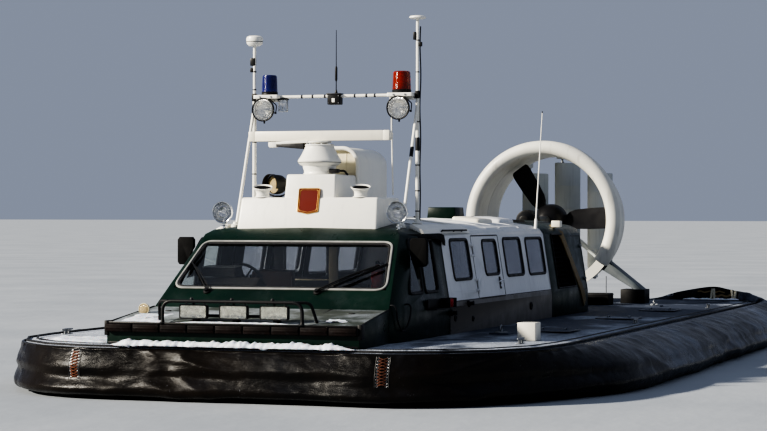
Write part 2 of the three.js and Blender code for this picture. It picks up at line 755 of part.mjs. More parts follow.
// A round lamp facing forward, hung under its shelf by a bracket
const SPOT = { x: 649, z: 2468, radius: 108, front: 2310 };

function spotlight(side) {
  const x = side * SPOT.x;
  const { z, radius, front } = SPOT;
  const body = rod([x, front, z], [x, front + 45, z], radius, 20);
  const back = rod([x, front + 45, z], [x, front + 120, z], radius * 0.86, 20, radius * 0.45);
  const under = MAST.beamZ - SHELF.thickness / 2 - SEAT_GAP;
  const bracket = block([x - 18, front + 58, z], [x + 18, front + 82, under]);
  const foot = block([x - 18, front + 58, under - 8], [x + 18, MAST.d, under]);
  return joined(body, back, bracket, foot);
}

const ROOF_LIGHT = { x: 821, d: 1800, z: 1532, radius: 95 };

function roofLight(side) {
  const { x, d, z, radius } = ROOF_LIGHT;
  const bowl = rod([side * x, d, z], [side * x, d + 85, z], radius, 20, radius * 0.45);
  const rim = rod([side * x, d - 18, z], [side * x, d, z], radius, 20);
  const post = rod([side * x, d + 35, 1350], [side * x, d + 35, z], 13, 8);
  return onRoof(joined(bowl, rim, post));
}

// A mirror on an arm out from the frame ahead of the cab's first side window
const MIRROR = { x: 1084, d: 1600, z: 1190, width: 155, height: 244, thickness: 45, clear: 12 };

function mirror(side) {
  const { x, d, z, width, height, thickness, clear } = MIRROR;
  const corners = [[-0.5, 0.4], [0.5, 0.4], [-0.38, 0.5], [0.38, 0.5]];
  const pane = convex(corners.flatMap(([across, share]) => [-1, 1].flatMap((up) => [-1, 1].map((aft) => [
    side * x + across * width, d + (aft * thickness) / 2, z + up * share * height,
  ]))));
  const apart = pane.subtract(cabOuter().translate([side * clear, 0, 0]));
  const arm = rod([side * (x - 30), d - 5, z - 60], [side * 940, d - 130, z - 60], 12, 8);
  return joined(apart, arm).subtract(cabOuter().translate([side * SEAT_GAP, 0, 0]));
}

// Navigation light: a screen along the cab's side with the lens at its rear end
const NAV = { d0: 1761, d1: 2335, z0: 690, z1: 780, depth: 95 };

function navLight(side) {
  const { d0, d1, z0, z1, depth } = NAV;
  const inner = SIDE_FOOT.x + SEAT_GAP;
  const back = block([side * inner, d0, z0], [side * (inner + 14), d1, z1]);
  const floor = block([side * inner, d0, z0], [side * (inner + depth), d1, z0 + 10]);
  const end = block([side * inner, d1 - 12, z0], [side * (inner + depth), d1, z1]);
  const lens = rod([side * (inner + 48), d1 - 52, z0 + 8], [side * (inner + 48), d1 - 52, z1 - 8], 32, 14);
  return joined(back, floor, end, lens);
}

// A locker on the port side deck, its foot cut to the deck's slope
const DECK_BOX = { x: 1945, d: 2005, width: 162, depth: 180, top: 590 };

function deckBox() {
  const { x, d, width, depth, top } = DECK_BOX;
  const body = block([x - width / 2, d - depth / 2, DECK_EDGE_Z - 20], [x + width / 2, d + depth / 2, top]);
  return body.subtract(hullBody().translate([0, 0, SEAT_GAP]));
}

// The engine bay: the cabin's section carried aft, with an air intake at each side
const INTAKE = [[6362, 752], [7110, 752], [6805, 1305], [6362, 1305]];
const ENGINE = { halfWidth: 380, d0: 6120, d1: 7180, z: 1090 };

function engineBay() {
  const outer = prismAlong(cabinSection(0, DECK_Z + SEAT_GAP), CABIN_REAR, ENGINE_BAY_REAR);
  const inner = prismAlong(cabinSection(WALL, DECK_Z - 20), CABIN_REAR + WALL, ENGINE_BAY_REAR - WALL);
  return outer.subtract(inner).subtract(bothSides(INTAKE));
}

function engineBlock() {
  const { halfWidth, d0, d1, z } = ENGINE;
  return block([-halfWidth, d0, DECK_Z + SEAT_GAP], [halfWidth, d1, z]);
}

// The cover over the drive shaft, from the engine bay back to the belt housing
const COWLING = { frontHalf: 560, rearHalf: 400, frontZ: 960, rearZ: 860 };
const BELT_HOUSING = { halfWidth: 120, d0: 9020, d1: 9240 };

function driveCowling() {
  const { frontHalf, rearHalf, frontZ, rearZ } = COWLING;
  const foot = DECK_Z + SEAT_GAP;
  const front = ENGINE_BAY_REAR + SEAT_GAP;
  const rear = BELT_HOUSING.d0 - SEAT_GAP;
  return convex(mirrored([
    [frontHalf, front, foot], [frontHalf, front, frontZ - 70], [frontHalf - 90, front, frontZ],
    [rearHalf, rear, foot], [rearHalf, rear, rearZ - 70], [rearHalf - 80, rear, rearZ],
  ]));
}

// The upright belt housing that carries the front end of the propeller shaft
function beltHousing() {
  const { halfWidth, d0, d1 } = BELT_HOUSING;
  const box = block([-halfWidth, d0, DECK_Z + SEAT_GAP], [halfWidth, d1, SHAFT_Z]);
  const head = rod([0, d0, SHAFT_Z], [0, d1, SHAFT_Z], halfWidth, 24);
  const nose = rod([0, d0 - 90, SHAFT_Z], [0, d0, SHAFT_Z], halfWidth * 0.45, 24, halfWidth * 0.9);
  return joined(box, head, nose);
}

// A low locker on the centreline of the roof
function roofBox() {
  return onRoof(convex(mirrored([
    [158, 5660, 1440], [158, 6000, 1440], [146, 5675, 1598], [146, 5985, 1598],
  ])));
}

function whipAntenna() {
  return onRoof(joined(
    rod([950, 5930, 1330], [953, 5940, 1480], 17, 10, 14),
    rod([953, 5940, 1470], [985, 6070, 2607], 8, 8, 5),
  ));
}

// Duct ring: barrel, rear shaft bearing on its struts, and a bearing arm above and below each rudder
const STRUTS = [-40, 220, 270];
const BEARING = { radius: 120, d0: 10330, d1: 10560 };
const RUDDER_ARM = { halfWidth: 32, height: 60, d0: DUCT_REAR - 40, d1: RUDDER_STATION + 45 };
const BARREL = [
  [DUCT_THROAT, DUCT_SEAM], [905, DUCT_SEAM], [862, DUCT_SEAM + 190], [DUCT_EXIT_OUTER, DUCT_REAR],
  [DUCT_EXIT_INNER, DUCT_REAR], [DUCT_THROAT, DUCT_SEAM + 170], [DUCT_THROAT, DUCT_SEAM],
];

function ringAbout(profile, segments = 48) {
  const points = profile.map(([r, d]) => new THREE.Vector2(r, d));
  const geometry = new THREE.LatheGeometry(points, segments);
  geometry.translate(0, FENDER_Y, SHAFT_Z);
  return solid(geometry);
}

function rudderRows() {
  return RUDDER_ROWS.map((row) => Object.fromEntries(RUDDER_COLUMNS.map((key, i) => [key, row[i]])));
}

function ductRing() {
  const bearing = rod([0, BEARING.d0, SHAFT_Z], [0, BEARING.d1, SHAFT_Z], BEARING.radius, 24);
  const struts = STRUTS.map((degrees) => {
    const strut = new THREE.BoxGeometry(730, BEARING.d1 - BEARING.d0 - 30, 36);
    strut.translate(440, stationY((BEARING.d0 + BEARING.d1) / 2), 0);
    strut.rotateY(-THREE.MathUtils.degToRad(degrees));
    strut.translate(0, 0, SHAFT_Z);
    return solid(strut);
  });
  const arms = rudderRows().flatMap(({ x, bearing: height }) => [1, -1].map((up) => {
    const { halfWidth, d0, d1 } = RUDDER_ARM;
    const inner = SHAFT_Z + up * height;
    const outer = SHAFT_Z + up * (height + RUDDER_ARM.height);
    return block([x - halfWidth, d0, inner], [x + halfWidth, d1, outer]);
  }));
  return joined(ringAbout(BARREL), bearing, ...struts, ...arms);
}

// The rounded lip over the upper part of the duct's mouth
const LIP_END = THREE.MathUtils.degToRad(-35);
const LIP_STEPS = 40;
const LIP_RADIUS = 88;

function lipSection() {
  const middle = DUCT_OUTER - LIP_RADIUS;
  const nose = DUCT_FRONT + LIP_RADIUS;
  const seat = DUCT_SEAM - SEAT_GAP;
  const section = [[905, seat], [DUCT_OUTER - 8, nose + 80]];
  const arcSteps = 8;
  for (let i = 0; i <= arcSteps; i += 1) {
    const a = (Math.PI * i) / arcSteps;
    section.push([middle + LIP_RADIUS * Math.cos(a), nose - LIP_RADIUS * Math.sin(a)]);
  }
  section.push([DUCT_THROAT + 2, nose + 120], [DUCT_THROAT, seat]);
  return section;
}

function ductLip() {
  const section = lipSection();
  const rings = [];
  for (let i = 0; i <= LIP_STEPS; i += 1) {
    const a = LIP_END + ((Math.PI - 2 * LIP_END) * i) / LIP_STEPS;
    rings.push(section.map(([r, d]) => new THREE.Vector3(
      r * Math.cos(a), stationY(d), SHAFT_Z + r * Math.sin(a),
    )));
  }
  return loft(rings);
}

// A slanted leg from the duct's barrel down to a black box on the deck
const LEG = { d0: 10100, d1: 10330 };
const LEG_ENDS = [[600, 900], [720, 985], [1105, 600], [1210, 600]];
const LEG_BOX = { x0: 920, x1: 1220, d0: 10060, d1: 10360, top: 618 };

function ductLeg(side) {
  const { d0, d1 } = LEG;
  const { x0, x1, top } = LEG_BOX;
  const box = block([side * x0, LEG_BOX.d0, DECK_Z + SEAT_GAP], [side * x1, LEG_BOX.d1, top]);
  const leg = convex(LEG_ENDS.flatMap(([x, z]) => [[side * x, d0, z], [side * x, d1, z]]));
  const apart = [side * SEAT_GAP * 0.8, 0, -SEAT_GAP * 0.6];
  return joined(box, leg).subtract(joined(ringAbout(BARREL), ductLip()).translate(apart));
}

// Propeller blade sections: radius, chord, thickness, pitch in degrees
const BLADE = [
  [120, 150, 48, 50],
  [250, 180, 38, 38],
  [330, 285, 30, 33],
  [560, 292, 22, 25],
  [PROPELLER_RADIUS, 288, 14, 20],
];
const HUB = { radius: 200, shaft: 48 };

// The propeller is drawn about its own centre, with its shaft along Y
function propeller() {
  const blade = loft(BLADE.map(([radius, chord, thickness, pitch]) => {
    const a = THREE.MathUtils.degToRad(pitch);
    const outline = [
      [-0.5, 0], [-0.3, 0.42], [0.1, 0.5], [0.5, 0.06], [0.5, -0.06], [0.1, -0.34], [-0.3, -0.3],
    ];
    return outline.map(([c, t]) => {
      const across = c * chord;
      const along = t * thickness;
      return new THREE.Vector3(radius,
        across * Math.sin(a) + along * Math.cos(a), across * Math.cos(a) - along * Math.sin(a));
    });
  }));
  const blades = Array.from({ length: BLADE_COUNT }, (_, i) => (
    blade.rotate([0, (360 / BLADE_COUNT) * i - BLADE_REST, 0])
  ));
  const { radius, shaft } = HUB;
  const profile = [
    [0, -230], [shaft, -230], [90, -205], [150, -150], [188, -80], [radius, 0], [radius, 88], [0, 88],
  ];
  const hub = new THREE.LatheGeometry(profile.map(([r, y]) => new THREE.Vector2(r, y)), 28);
  const front = BELT_HOUSING.d1 + SEAT_GAP - PROPELLER_STATION;
  const rear = BEARING.d0 - SEAT_GAP - PROPELLER_STATION;
  const axle = new THREE.CylinderGeometry(shaft, shaft, rear - front, 16);
  axle.translate(0, (rear + front) / 2, 0);
  return joined(solid(hub), solid(axle), ...blades);
}

// A rudder is drawn about its own post, with its pivot pins at the top and bottom
const RUDDER = { ahead: 160, behind: 390, thickness: 44, pin: 14 };

function rudder({ half, bearing }) {
  const { ahead, behind, thickness, pin } = RUDDER;
  const outline = [
    [0, -ahead], [thickness * 0.38, -ahead + 30], [thickness / 2, -ahead + 110],
    [thickness * 0.4, 60], [5, behind], [-5, behind], [-thickness * 0.4, 60],
    [-thickness / 2, -ahead + 110], [-thickness * 0.38, -ahead + 30],
  ];
  const blade = new THREE.ExtrudeGeometry(outlineShape(outline), { depth: half * 2, bevelEnabled: false });
  blade.translate(0, 0, -half);
  const reach = bearing - SEAT_GAP;
  const post = new THREE.CylinderGeometry(pin, pin, reach * 2, 12);
  post.rotateX(Math.PI / 2);
  return joined(solid(blade), solid(post));
}

// Cabin furniture, standing on the floor of the well
function helmConsole() {
  const foot = FLOOR_Z + SEAT_GAP;
  return convex([
    [-905, 1400, foot], [-330, 1400, foot], [-905, 1680, foot], [-330, 1680, foot],
    [-905, 1400, 905], [-330, 1400, 905], [-905, 1740, 830], [-330, 1740, 830],
    [-905, 1500, 960], [-330, 1500, 960],
  ]);
}

function seat(x0, x1, d0, d1) {
  const foot = FLOOR_Z + SEAT_GAP;
  const cushion = block([x0, d0, foot], [x1, d1, foot + 330]);
  const back = block([x0, d1 - 110, foot], [x1, d1, foot + 850]);
  return joined(cushion, back);
}

function bench(side) {
  const foot = FLOOR_Z + SEAT_GAP;
  const cushion = block([side * 480, 4430, foot], [side * 905, 5800, foot + 340]);
  const back = block([side * 820, 4430, foot], [side * 905, 5800, foot + 640]);
  return joined(cushion, back);
}

function antennaDrum() {
  const foot = MAST.starboardTop + SEAT_GAP;
  return turned([
    [0, foot], [50, foot], [72, foot + 18], [76, foot + 70], [60, foot + 92], [0, foot + 98],
  ], [-MAST.x, MAST.d], 18);
}

function antennaDisc() {
  const foot = MAST.portTop + SEAT_GAP;
  return turned([
    [0, foot], [62, foot], [76, foot + 10], [70, foot + 26], [0, foot + 32],
  ], [MAST.x, MAST.d], 18);
}

// A black box hung around the crossbeam's middle, with a whip that thickens half way
function centreAntenna() {
  const { d, beamZ, tube } = MAST;
  const body = block([-60, d - 45, beamZ - 78], [60, d + 45, beamZ + 22]);
  const slot = rod([-80, d, beamZ], [80, d, beamZ], tube + SEAT_GAP, 12);
  const whip = joined(
    rod([0, d + 30, beamZ + 10], [0, d + 30, 3190], 5, 8),
    rod([0, d + 30, 2730], [0, d + 30, 2855], 11, 10),
  );
  return joined(body, whip).subtract(slot);
}

// Hull, skirt and bow
addPiece('hull', hullBody(), 'hullGrey');
addPiece('skirt_bow', bowSkirt(), 'skirtRubber');
addPiece('skirt_port', sideSkirt(1), 'skirtRubber');
addPiece('skirt_starboard', sideSkirt(-1), 'skirtRubber');
addPiece('skirt_stern', sternSkirt(), 'skirtRubber');
addPiece('bow_box', bowBox(), 'darkGreen');
addPiece('bow_fender', bowFender(), 'black');
addPiece('bow_lamps', bowLamps(), 'lamp');
addPiece('lamp_guard', lampGuard(), 'black');

// Cabin
addPiece('cab_front', cabFront(), 'darkGreen');
addPiece('cabin_shell', cabinShell(), 'white');
addPiece('windshield_glass', shieldSlab(SEAT_GAP, 10, 10 + PANEL), 'glass');
addPiece('helm_console', helmConsole(), 'black');
addPiece('helm_seat', seat(-840, -400, 2060, 2560), 'seatBrown');

const SIDES = [['port', 1], ['starboard', -1]];
for (const [name, side] of SIDES) {
  addPiece(`cab_glass_${name}`, sideGlass(side, 1870, 3300, 800, 1312), 'glass');
  addPiece(`aft_glass_${name}`, sideGlass(side, 4400, 5970, 885, 1310), 'glass');
  addPiece(`door_${name}`, door(side), 'white');
  addPiece(`door_glass_${name}`, sideGlass(side, 3680, 4230, 915, 1305), 'glass');
  addPiece(`bench_${name}`, bench(side), 'seatBrown');
  addPiece(`mirror_${name}`, mirror(side), 'black');
  addPiece(`nav_light_${name}`, navLight(side), side > 0 ? 'redLens' : 'greenLens');
  addPiece(`vent_cowl_${name}`, ventCowl(side), 'white');
  addPiece(`roof_light_${name}`, roofLight(side), 'chrome');
  addPiece(`duct_leg_${name}`, ductLeg(side), 'rudderGrey');
}

// Roof and mast
addPiece('roof_fairing', roofFairing(), 'white');
addPiece('radar_pedestal', radarPedestal(), 'white');
addPiece('radar_scanner', radarScanner(), 'white', new THREE.Vector3(0, stationY(RADAR.d), 0));
addPiece('intake_scoop', intakeScoop(), 'white');
addPiece('roof_cap', roofCap(), 'white');
addPiece('roof_box', roofBox(), 'darkGreen');
addPiece('whip_antenna', whipAntenna(), 'white');
addPiece('light_mast', lightMast(), 'white');
addPiece('spotlight_port', spotlight(1), 'chrome');
addPiece('spotlight_starboard', spotlight(-1), 'chrome');
addPiece('beacon_port', beacon(638, 84, 197), 'redLens');
addPiece('beacon_starboard', beacon(-638, 72, 184), 'blueLens');
addPiece('antenna_drum', antennaDrum(), 'white');
addPiece('antenna_disc', antennaDisc(), 'white');
addPiece('antenna_centre', centreAntenna(), 'black');
addPiece('deck_box', deckBox(), 'white');

// Engine, drive, duct and steering
addPiece('engine_bay', engineBay(), 'darkGreen');
addPiece('engine_block', engineBlock(), 'castGrey');
addPiece('drive_cowling', driveCowling(), 'darkGreen');
addPiece('belt_housing', beltHousing(), 'black');
addPiece('duct_ring', ductRing(), 'rudderGrey');
addPiece('duct_lip', ductLip(), 'cream');
addPiece('propeller', propeller(), 'black', new THREE.Vector3(0, stationY(PROPELLER_STATION), SHAFT_Z));
rudderRows().forEach((row, i) => {
  const at = new THREE.Vector3(row.x, stationY(RUDDER_STATION), SHAFT_Z);
  const mesh = addPiece(`rudder_${i + 1}`, rudder(row), 'rudderGrey', at);
  mesh.rotation.z = -RUDDER_REST;
});

export default craft;
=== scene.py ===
"""Light patrol hovercraft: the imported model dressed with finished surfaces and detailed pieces."""
import json
import math

import bmesh
import bpy
from mathutils import Matrix, Vector, noise
from mathutils.bvhtree import BVHTree

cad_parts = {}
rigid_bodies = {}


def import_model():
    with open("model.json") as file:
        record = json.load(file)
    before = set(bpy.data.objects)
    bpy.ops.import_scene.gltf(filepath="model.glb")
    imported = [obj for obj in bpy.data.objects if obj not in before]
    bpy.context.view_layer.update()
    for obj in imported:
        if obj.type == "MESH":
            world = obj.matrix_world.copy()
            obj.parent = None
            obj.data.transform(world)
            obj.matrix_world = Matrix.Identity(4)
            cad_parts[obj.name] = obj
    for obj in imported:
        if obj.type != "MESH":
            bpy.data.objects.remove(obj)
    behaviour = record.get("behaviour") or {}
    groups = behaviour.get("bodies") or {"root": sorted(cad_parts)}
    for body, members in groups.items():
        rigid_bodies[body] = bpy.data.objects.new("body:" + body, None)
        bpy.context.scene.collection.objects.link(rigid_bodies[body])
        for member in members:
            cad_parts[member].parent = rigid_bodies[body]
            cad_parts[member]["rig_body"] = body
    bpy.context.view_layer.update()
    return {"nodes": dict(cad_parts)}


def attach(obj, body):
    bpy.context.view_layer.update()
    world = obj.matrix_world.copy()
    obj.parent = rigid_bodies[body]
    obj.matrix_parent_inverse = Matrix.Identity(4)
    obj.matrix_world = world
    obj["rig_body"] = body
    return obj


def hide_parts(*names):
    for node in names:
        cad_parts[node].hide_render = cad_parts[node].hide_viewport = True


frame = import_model()

MM = 0.001
BOW_Y = -5.83
SIDES = (("port", 1), ("starboard", -1))
UP, PORT = Vector((0, 0, 1)), Vector((1, 0, 0))
FORE, AFT = Vector((0, -1, 0)), Vector((0, 1, 0))


def rad(degrees):
    return math.radians(degrees)


def at(x, d, z):
    """A point from millimetres: x, station aft of the fender, height."""
    return Vector((x * MM, BOW_Y + d * MM, z * MM))


# Camera, light and floor

CAMERA = {"place": (6.822, -21.830, 1.478), "yaw": 19.0, "pitch": 90.08, "roll": 0.115, "lens": 101.76}
SENSOR = 36.0
FAR_CLIP = 4000.0
SKY_COLOUR = (0.330, 0.372, 0.480, 1)
SKY_STRENGTH = 0.66
SUN = {"azimuth": 215, "elevation": 25, "strength": 7.0, "colour": (1.0, 0.93, 0.81), "angle": 3}
FLOOR_REACH = 1600.0


def add_camera():
    data = bpy.data.cameras.new("camera")
    data.sensor_width = SENSOR
    data.lens = CAMERA["lens"]
    data.clip_end = FAR_CLIP
    camera = bpy.data.objects.new("camera", data)
    bpy.context.scene.collection.objects.link(camera)
    camera.matrix_world = (
        Matrix.Translation(CAMERA["place"])
        @ Matrix.Rotation(rad(CAMERA["yaw"]), 4, "Z")
        @ Matrix.Rotation(rad(CAMERA["pitch"]), 4, "X")
        @ Matrix.Rotation(rad(CAMERA["roll"]), 4, "Z")
    )
    bpy.context.scene.camera = camera


def add_area(name, place, target, size, power, colour):
    data = bpy.data.lights.new(name, "AREA")
    data.shape = "RECTANGLE"
    data.size, data.size_y = size
    data.energy = power
    data.color = colour
    light = bpy.data.objects.new(name, data)
    bpy.context.scene.collection.objects.link(light)
    light.location = place
    light.rotation_euler = (Vector(target) - Vector(place)).to_track_quat("-Z", "Y").to_euler()


def add_sun(name, azimuth, elevation, strength, colour, angle):
    """A wide sun: azimuth is where it stands, counted from +X towards +Y."""
    data = bpy.data.lights.new(name, "SUN")
    data.energy = strength
    data.color = colour
    data.angle = rad(angle)
    light = bpy.data.objects.new(name, data)
    bpy.context.scene.collection.objects.link(light)
    a, e = rad(azimuth), rad(elevation)
    towards = -Vector((math.cos(a) * math.cos(e), math.sin(a) * math.cos(e), math.sin(e)))
    light.rotation_euler = towards.to_track_quat("-Z", "Y").to_euler()


def add_stage():
    world = bpy.data.worlds.new("studio")
    bpy.context.scene.world = world
    world.use_nodes = True
    back = world.node_tree.nodes["Background"]
    back.inputs["Color"].default_value = SKY_COLOUR
    back.inputs["Strength"].default_value = SKY_STRENGTH
    bpy.context.scene.view_settings.look = "AgX - High Contrast"
    add_sun("key", **SUN)
    add_area("top_fill", (2, -4, 14), (0, 0, 0), (16, 16), 60, (0.80, 0.88, 1.0))
    mesh = bpy.data.meshes.new("floor")
    corners = [(a * FLOOR_REACH, b * FLOOR_REACH, 0) for a, b in ((-1, -1), (1, -1), (1, 1), (-1, 1))]
    mesh.from_pydata(corners, [], [(0, 1, 2, 3)])
    floor = bpy.data.objects.new("floor", mesh)
    bpy.context.scene.collection.objects.link(floor)
    finish = Finish("floor_pale", Roughness=0.9, Specular_IOR_Level=0.2)
    drift = finish.band(finish.noise(0.35, 4), 0.3, 0.7)
    finish.colour(finish.mix(drift, (0.345, 0.372, 0.405), (0.405, 0.43, 0.46)))
    finish.relief((finish.noise(0.9, 5, stretch=(1, 0.5, 1)), 0.03))
    mesh.materials.append(finish.material)


# Procedural surfaces

class Finish:
    """One procedural surface, built node by node around a Principled shader."""

    def __init__(self, name, **constants):
        self.material = bpy.data.materials.new(name)
        self.material.use_nodes = True
        tree = self.material.node_tree
        self.nodes, self.links = tree.nodes, tree.links
        self.shader = self.nodes["Principled BSDF"]
        for key, value in constants.items():
            self.shader.inputs[key.replace("_", " ")].default_value = value
        self.place = self.nodes.new("ShaderNodeTexCoord").outputs["Object"]

    def spread(self, stretch):
        if stretch is None:
            return self.place
        node = self.nodes.new("ShaderNodeMapping")
        node.inputs["Scale"].default_value = stretch
        self.links.new(self.place, node.inputs["Vector"])
        return node.outputs["Vector"]

    def noise(self, scale, detail=3.0, rough=0.55, stretch=None, warp=0.0):
        node = self.nodes.new("ShaderNodeTexNoise")
        node.inputs["Scale"].default_value = scale
        node.inputs["Detail"].default_value = detail
        node.inputs["Roughness"].default_value = rough
        node.inputs["Distortion"].default_value = warp
        self.links.new(self.spread(stretch), node.inputs["Vector"])
        return node.outputs["Fac"]

    def cells(self, scale):
        node = self.nodes.new("ShaderNodeTexVoronoi")
        node.inputs["Scale"].default_value = scale
        self.links.new(self.place, node.inputs["Vector"])
        return node.outputs["Distance"]

    def wave(self, scale, axis):
        node = self.nodes.new("ShaderNodeTexWave")
        node.bands_direction = axis
        node.inputs["Scale"].default_value = scale
        self.links.new(self.place, node.inputs["Vector"])
        return node.outputs["Fac"]

    def axis(self, name):
        node = self.nodes.new("ShaderNodeSeparateXYZ")
        self.links.new(self.place, node.inputs["Vector"])
        return node.outputs[name]

    def upward(self):
        """How far the surface faces up, from -1 to 1."""
        geometry = self.nodes.new("ShaderNodeNewGeometry")
        split = self.nodes.new("ShaderNodeSeparateXYZ")
        self.links.new(geometry.outputs["Normal"], split.inputs["Vector"])
        return split.outputs["Z"]

    def band(self, value, low, high, start=0.0, end=1.0):
        node = self.nodes.new("ShaderNodeMapRange")
        node.interpolation_type = "SMOOTHSTEP"
        node.inputs["From Min"].default_value = low
        node.inputs["From Max"].default_value = high
        node.inputs["To Min"].default_value = start
        node.inputs["To Max"].default_value = end
        self.links.new(value, node.inputs["Value"])
        return node.outputs["Result"]

    def math(self, operation, a, b):
        node = self.nodes.new("ShaderNodeMath")
        node.operation = operation
        for socket, value in zip(node.inputs, (a, b)):
            if isinstance(value, (int, float)):
                socket.default_value = value
            else:
                self.links.new(value, socket)
        return node.outputs[0]

    def times(self, *values):
        result = values[0]
        for value in values[1:]:
            result = self.math("MULTIPLY", result, value)
        return result

    def mix(self, share, a, b):
        node = self.nodes.new("ShaderNodeMix")
        node.data_type = "RGBA"
        for socket, value in ((node.inputs[0], share), (node.inputs[6], a), (node.inputs[7], b)):
            if isinstance(value, tuple):
                socket.default_value = (*value, 1.0)
            elif isinstance(value, (int, float)):
                socket.default_value = value
            else:
                self.links.new(value, socket)
        return node.outputs[2]

    def colour(self, value):
        self.links.new(value, self.shader.inputs["Base Color"])

    def rough(self, value):
        self.links.new(value, self.shader.inputs["Roughness"])

    def relief(self, *layers):
        """Bump from (height, depth in metres) layers, laid one over the other."""
        below = None
        for height, depth in layers:
            node = self.nodes.new("ShaderNodeBump")
            node.inputs["Strength"].default_value = 1.0
            node.inputs["Distance"].default_value = depth
            self.links.new(height, node.inputs["Height"])
            if below is not None:
                self.links.new(below, node.inputs["Normal"])
            below = node.outputs["Normal"]
        self.links.new(below, self.shader.inputs["Normal"])


FROST = (0.58, 0.63, 0.70)
GRIME = (0.055, 0.050, 0.043)


def painted(name, base, shade, gloss=(0.32, 0.5), frost=0.0, grime=0.25, band=None, **constants):
    """Sprayed paint: drifts of tone, rain streaks, a fine orange peel, an optional dark band below a given
    height and frost on top.
    """
    finish = Finish(name, **constants)
    tone = finish.mix(finish.band(finish.noise(1.4, 4), 0.32, 0.68), base, shade)
    tone = finish.mix(finish.band(finish.noise(17, 5, 0.65), 0.55, 0.8, 0.0, 0.35), tone, shade)
    if band:
        low, high, colour = band
        height = finish.axis("Z")
        ragged = finish.math("ADD", height, finish.band(finish.noise(26, 3), 0.3, 0.7, -0.0012, 0.0012))
        tone = finish.mix(finish.band(ragged, low, high, 1.0, 0.0), tone, colour)
    streak = finish.band(finish.noise(3.2, 5, 0.6, stretch=(6, 6, 0.5)), 0.52, 0.78, 0.0, grime)
    tone = finish.mix(streak, tone, GRIME)
    speck = finish.band(finish.cells(38), 0.05, 0.12, grime * 0.6, 0.0)
    tone = finish.mix(finish.times(speck, finish.band(finish.noise(4), 0.5, 0.62)), tone, GRIME)
    gleam = finish.band(finish.noise(6, 5, 0.6), 0.3, 0.7, *gloss)
    if frost:
        patch = finish.band(finish.noise(2.3, 6, 0.62), 0.5 - 0.22 * frost, 0.72 - 0.2 * frost)
        grain = finish.band(finish.noise(120, 2), 0.35, 0.6, 0.55, 1.0)
        lying = finish.band(finish.upward(), 0.15, 0.75, 0.16, 1.0)
        cover = finish.times(patch, grain, lying, min(1.0, frost * 1.3))
        tone = finish.mix(cover, tone, FROST)
        gleam = finish.math("MAXIMUM", gleam, finish.times(cover, 0.9))
    finish.colour(tone)
    finish.rough(gleam)
    finish.relief((finish.noise(240, 2), 0.00025), (finish.noise(7, 3), 0.0012))
    return finish.material


def metal(name, base, shade, gloss, metallic=1.0):
    finish = Finish(name, Metallic=metallic)
    finish.colour(finish.mix(finish.band(finish.noise(21, 4), 0.35, 0.7), base, shade))
    finish.rough(finish.band(finish.noise(55, 4, 0.6), 0.3, 0.75, *gloss))
    finish.relief((finish.noise(160, 3), 0.00012))
    return finish.material


def rubber(name, base, shade, gloss=(0.45, 0.65), dust_and_sky_sheen=0.2, shine=0.45):
    finish = Finish(name, Specular_IOR_Level=shine)
    tone = finish.mix(finish.band(finish.noise(8, 4), 0.35, 0.7), base, shade)
    worn = finish.times(finish.band(finish.noise(31, 4, 0.7), 0.5, 0.75), dust_and_sky_sheen)
    finish.colour(finish.mix(worn, tone, (0.22, 0.23, 0.25)))
    finish.rough(finish.band(finish.noise(19, 4), 0.3, 0.7, *gloss))
    finish.relief((finish.noise(300, 2), 0.0002))
    return finish.material


def skirt_rubber():
    """Coated fabric: black with a brown sheen, fine weave, scuffs, a painted blue-grey sheen of sky light on
    its upward faces that grows aft, and frost on its upper folds.
    """
    finish = Finish("skirt_fabric", Coat_Weight=0.03, Coat_Roughness=0.18, Specular_IOR_Level=0.12)
    black, brown = (0.0045, 0.0042, 0.0042), (0.0105, 0.0078, 0.0058)
    tone = finish.mix(finish.band(finish.noise(1.1, 5), 0.36, 0.66), black, brown)
    scuff = finish.band(finish.noise(3.5, 7, 0.72, stretch=(1, 1, 3.2)), 0.60, 0.78, 0.0, 0.4)
    tone = finish.mix(scuff, tone, (0.026, 0.021, 0.017))
    # Painted sky light: upward faces are mixed towards blue-grey, more so aft, as if lit by the sky.
    lies = finish.band(finish.upward(), 0.02, 0.5)
    aft = finish.band(finish.axis("Y"), -5.0, -0.5, 0.06, 0.85)
    dust_and_sky_sheen = finish.times(finish.band(finish.noise(1.9, 8, 0.7), 0.40, 0.68), lies, aft)
    tone = finish.mix(dust_and_sky_sheen, tone, (0.105, 0.125, 0.175))
    hump = finish.band(finish.axis("Y"), 5.3, 5.7)
    patch = finish.band(finish.noise(7.5, 6, 0.6), 0.58, 0.63)
    patch = finish.times(patch, hump, finish.band(finish.upward(), 0.25, 0.7))
    tone = finish.mix(patch, tone, (0.62, 0.65, 0.70))
    crystals = finish.band(finish.noise(95, 2), 0.68, 0.75, 0.0, 0.4)
    tone = finish.mix(finish.times(crystals, finish.band(finish.noise(3.4), 0.56, 0.7)), tone, FROST)
    finish.colour(tone)
    finish.rough(finish.band(finish.noise(5, 5, 0.6), 0.3, 0.72, 0.24, 0.36))
    weave = finish.times(finish.wave(210, "X"), finish.wave(210, "Z"))
    finish.relief((weave, 0.00012), (finish.noise(21, 4, 0.5, stretch=(1, 1, 2.4), warp=0.5), 0.0011),
                  (finish.noise(6, 4, 0.5, stretch=(1, 1, 2.6)), 0.007))
    return finish.material


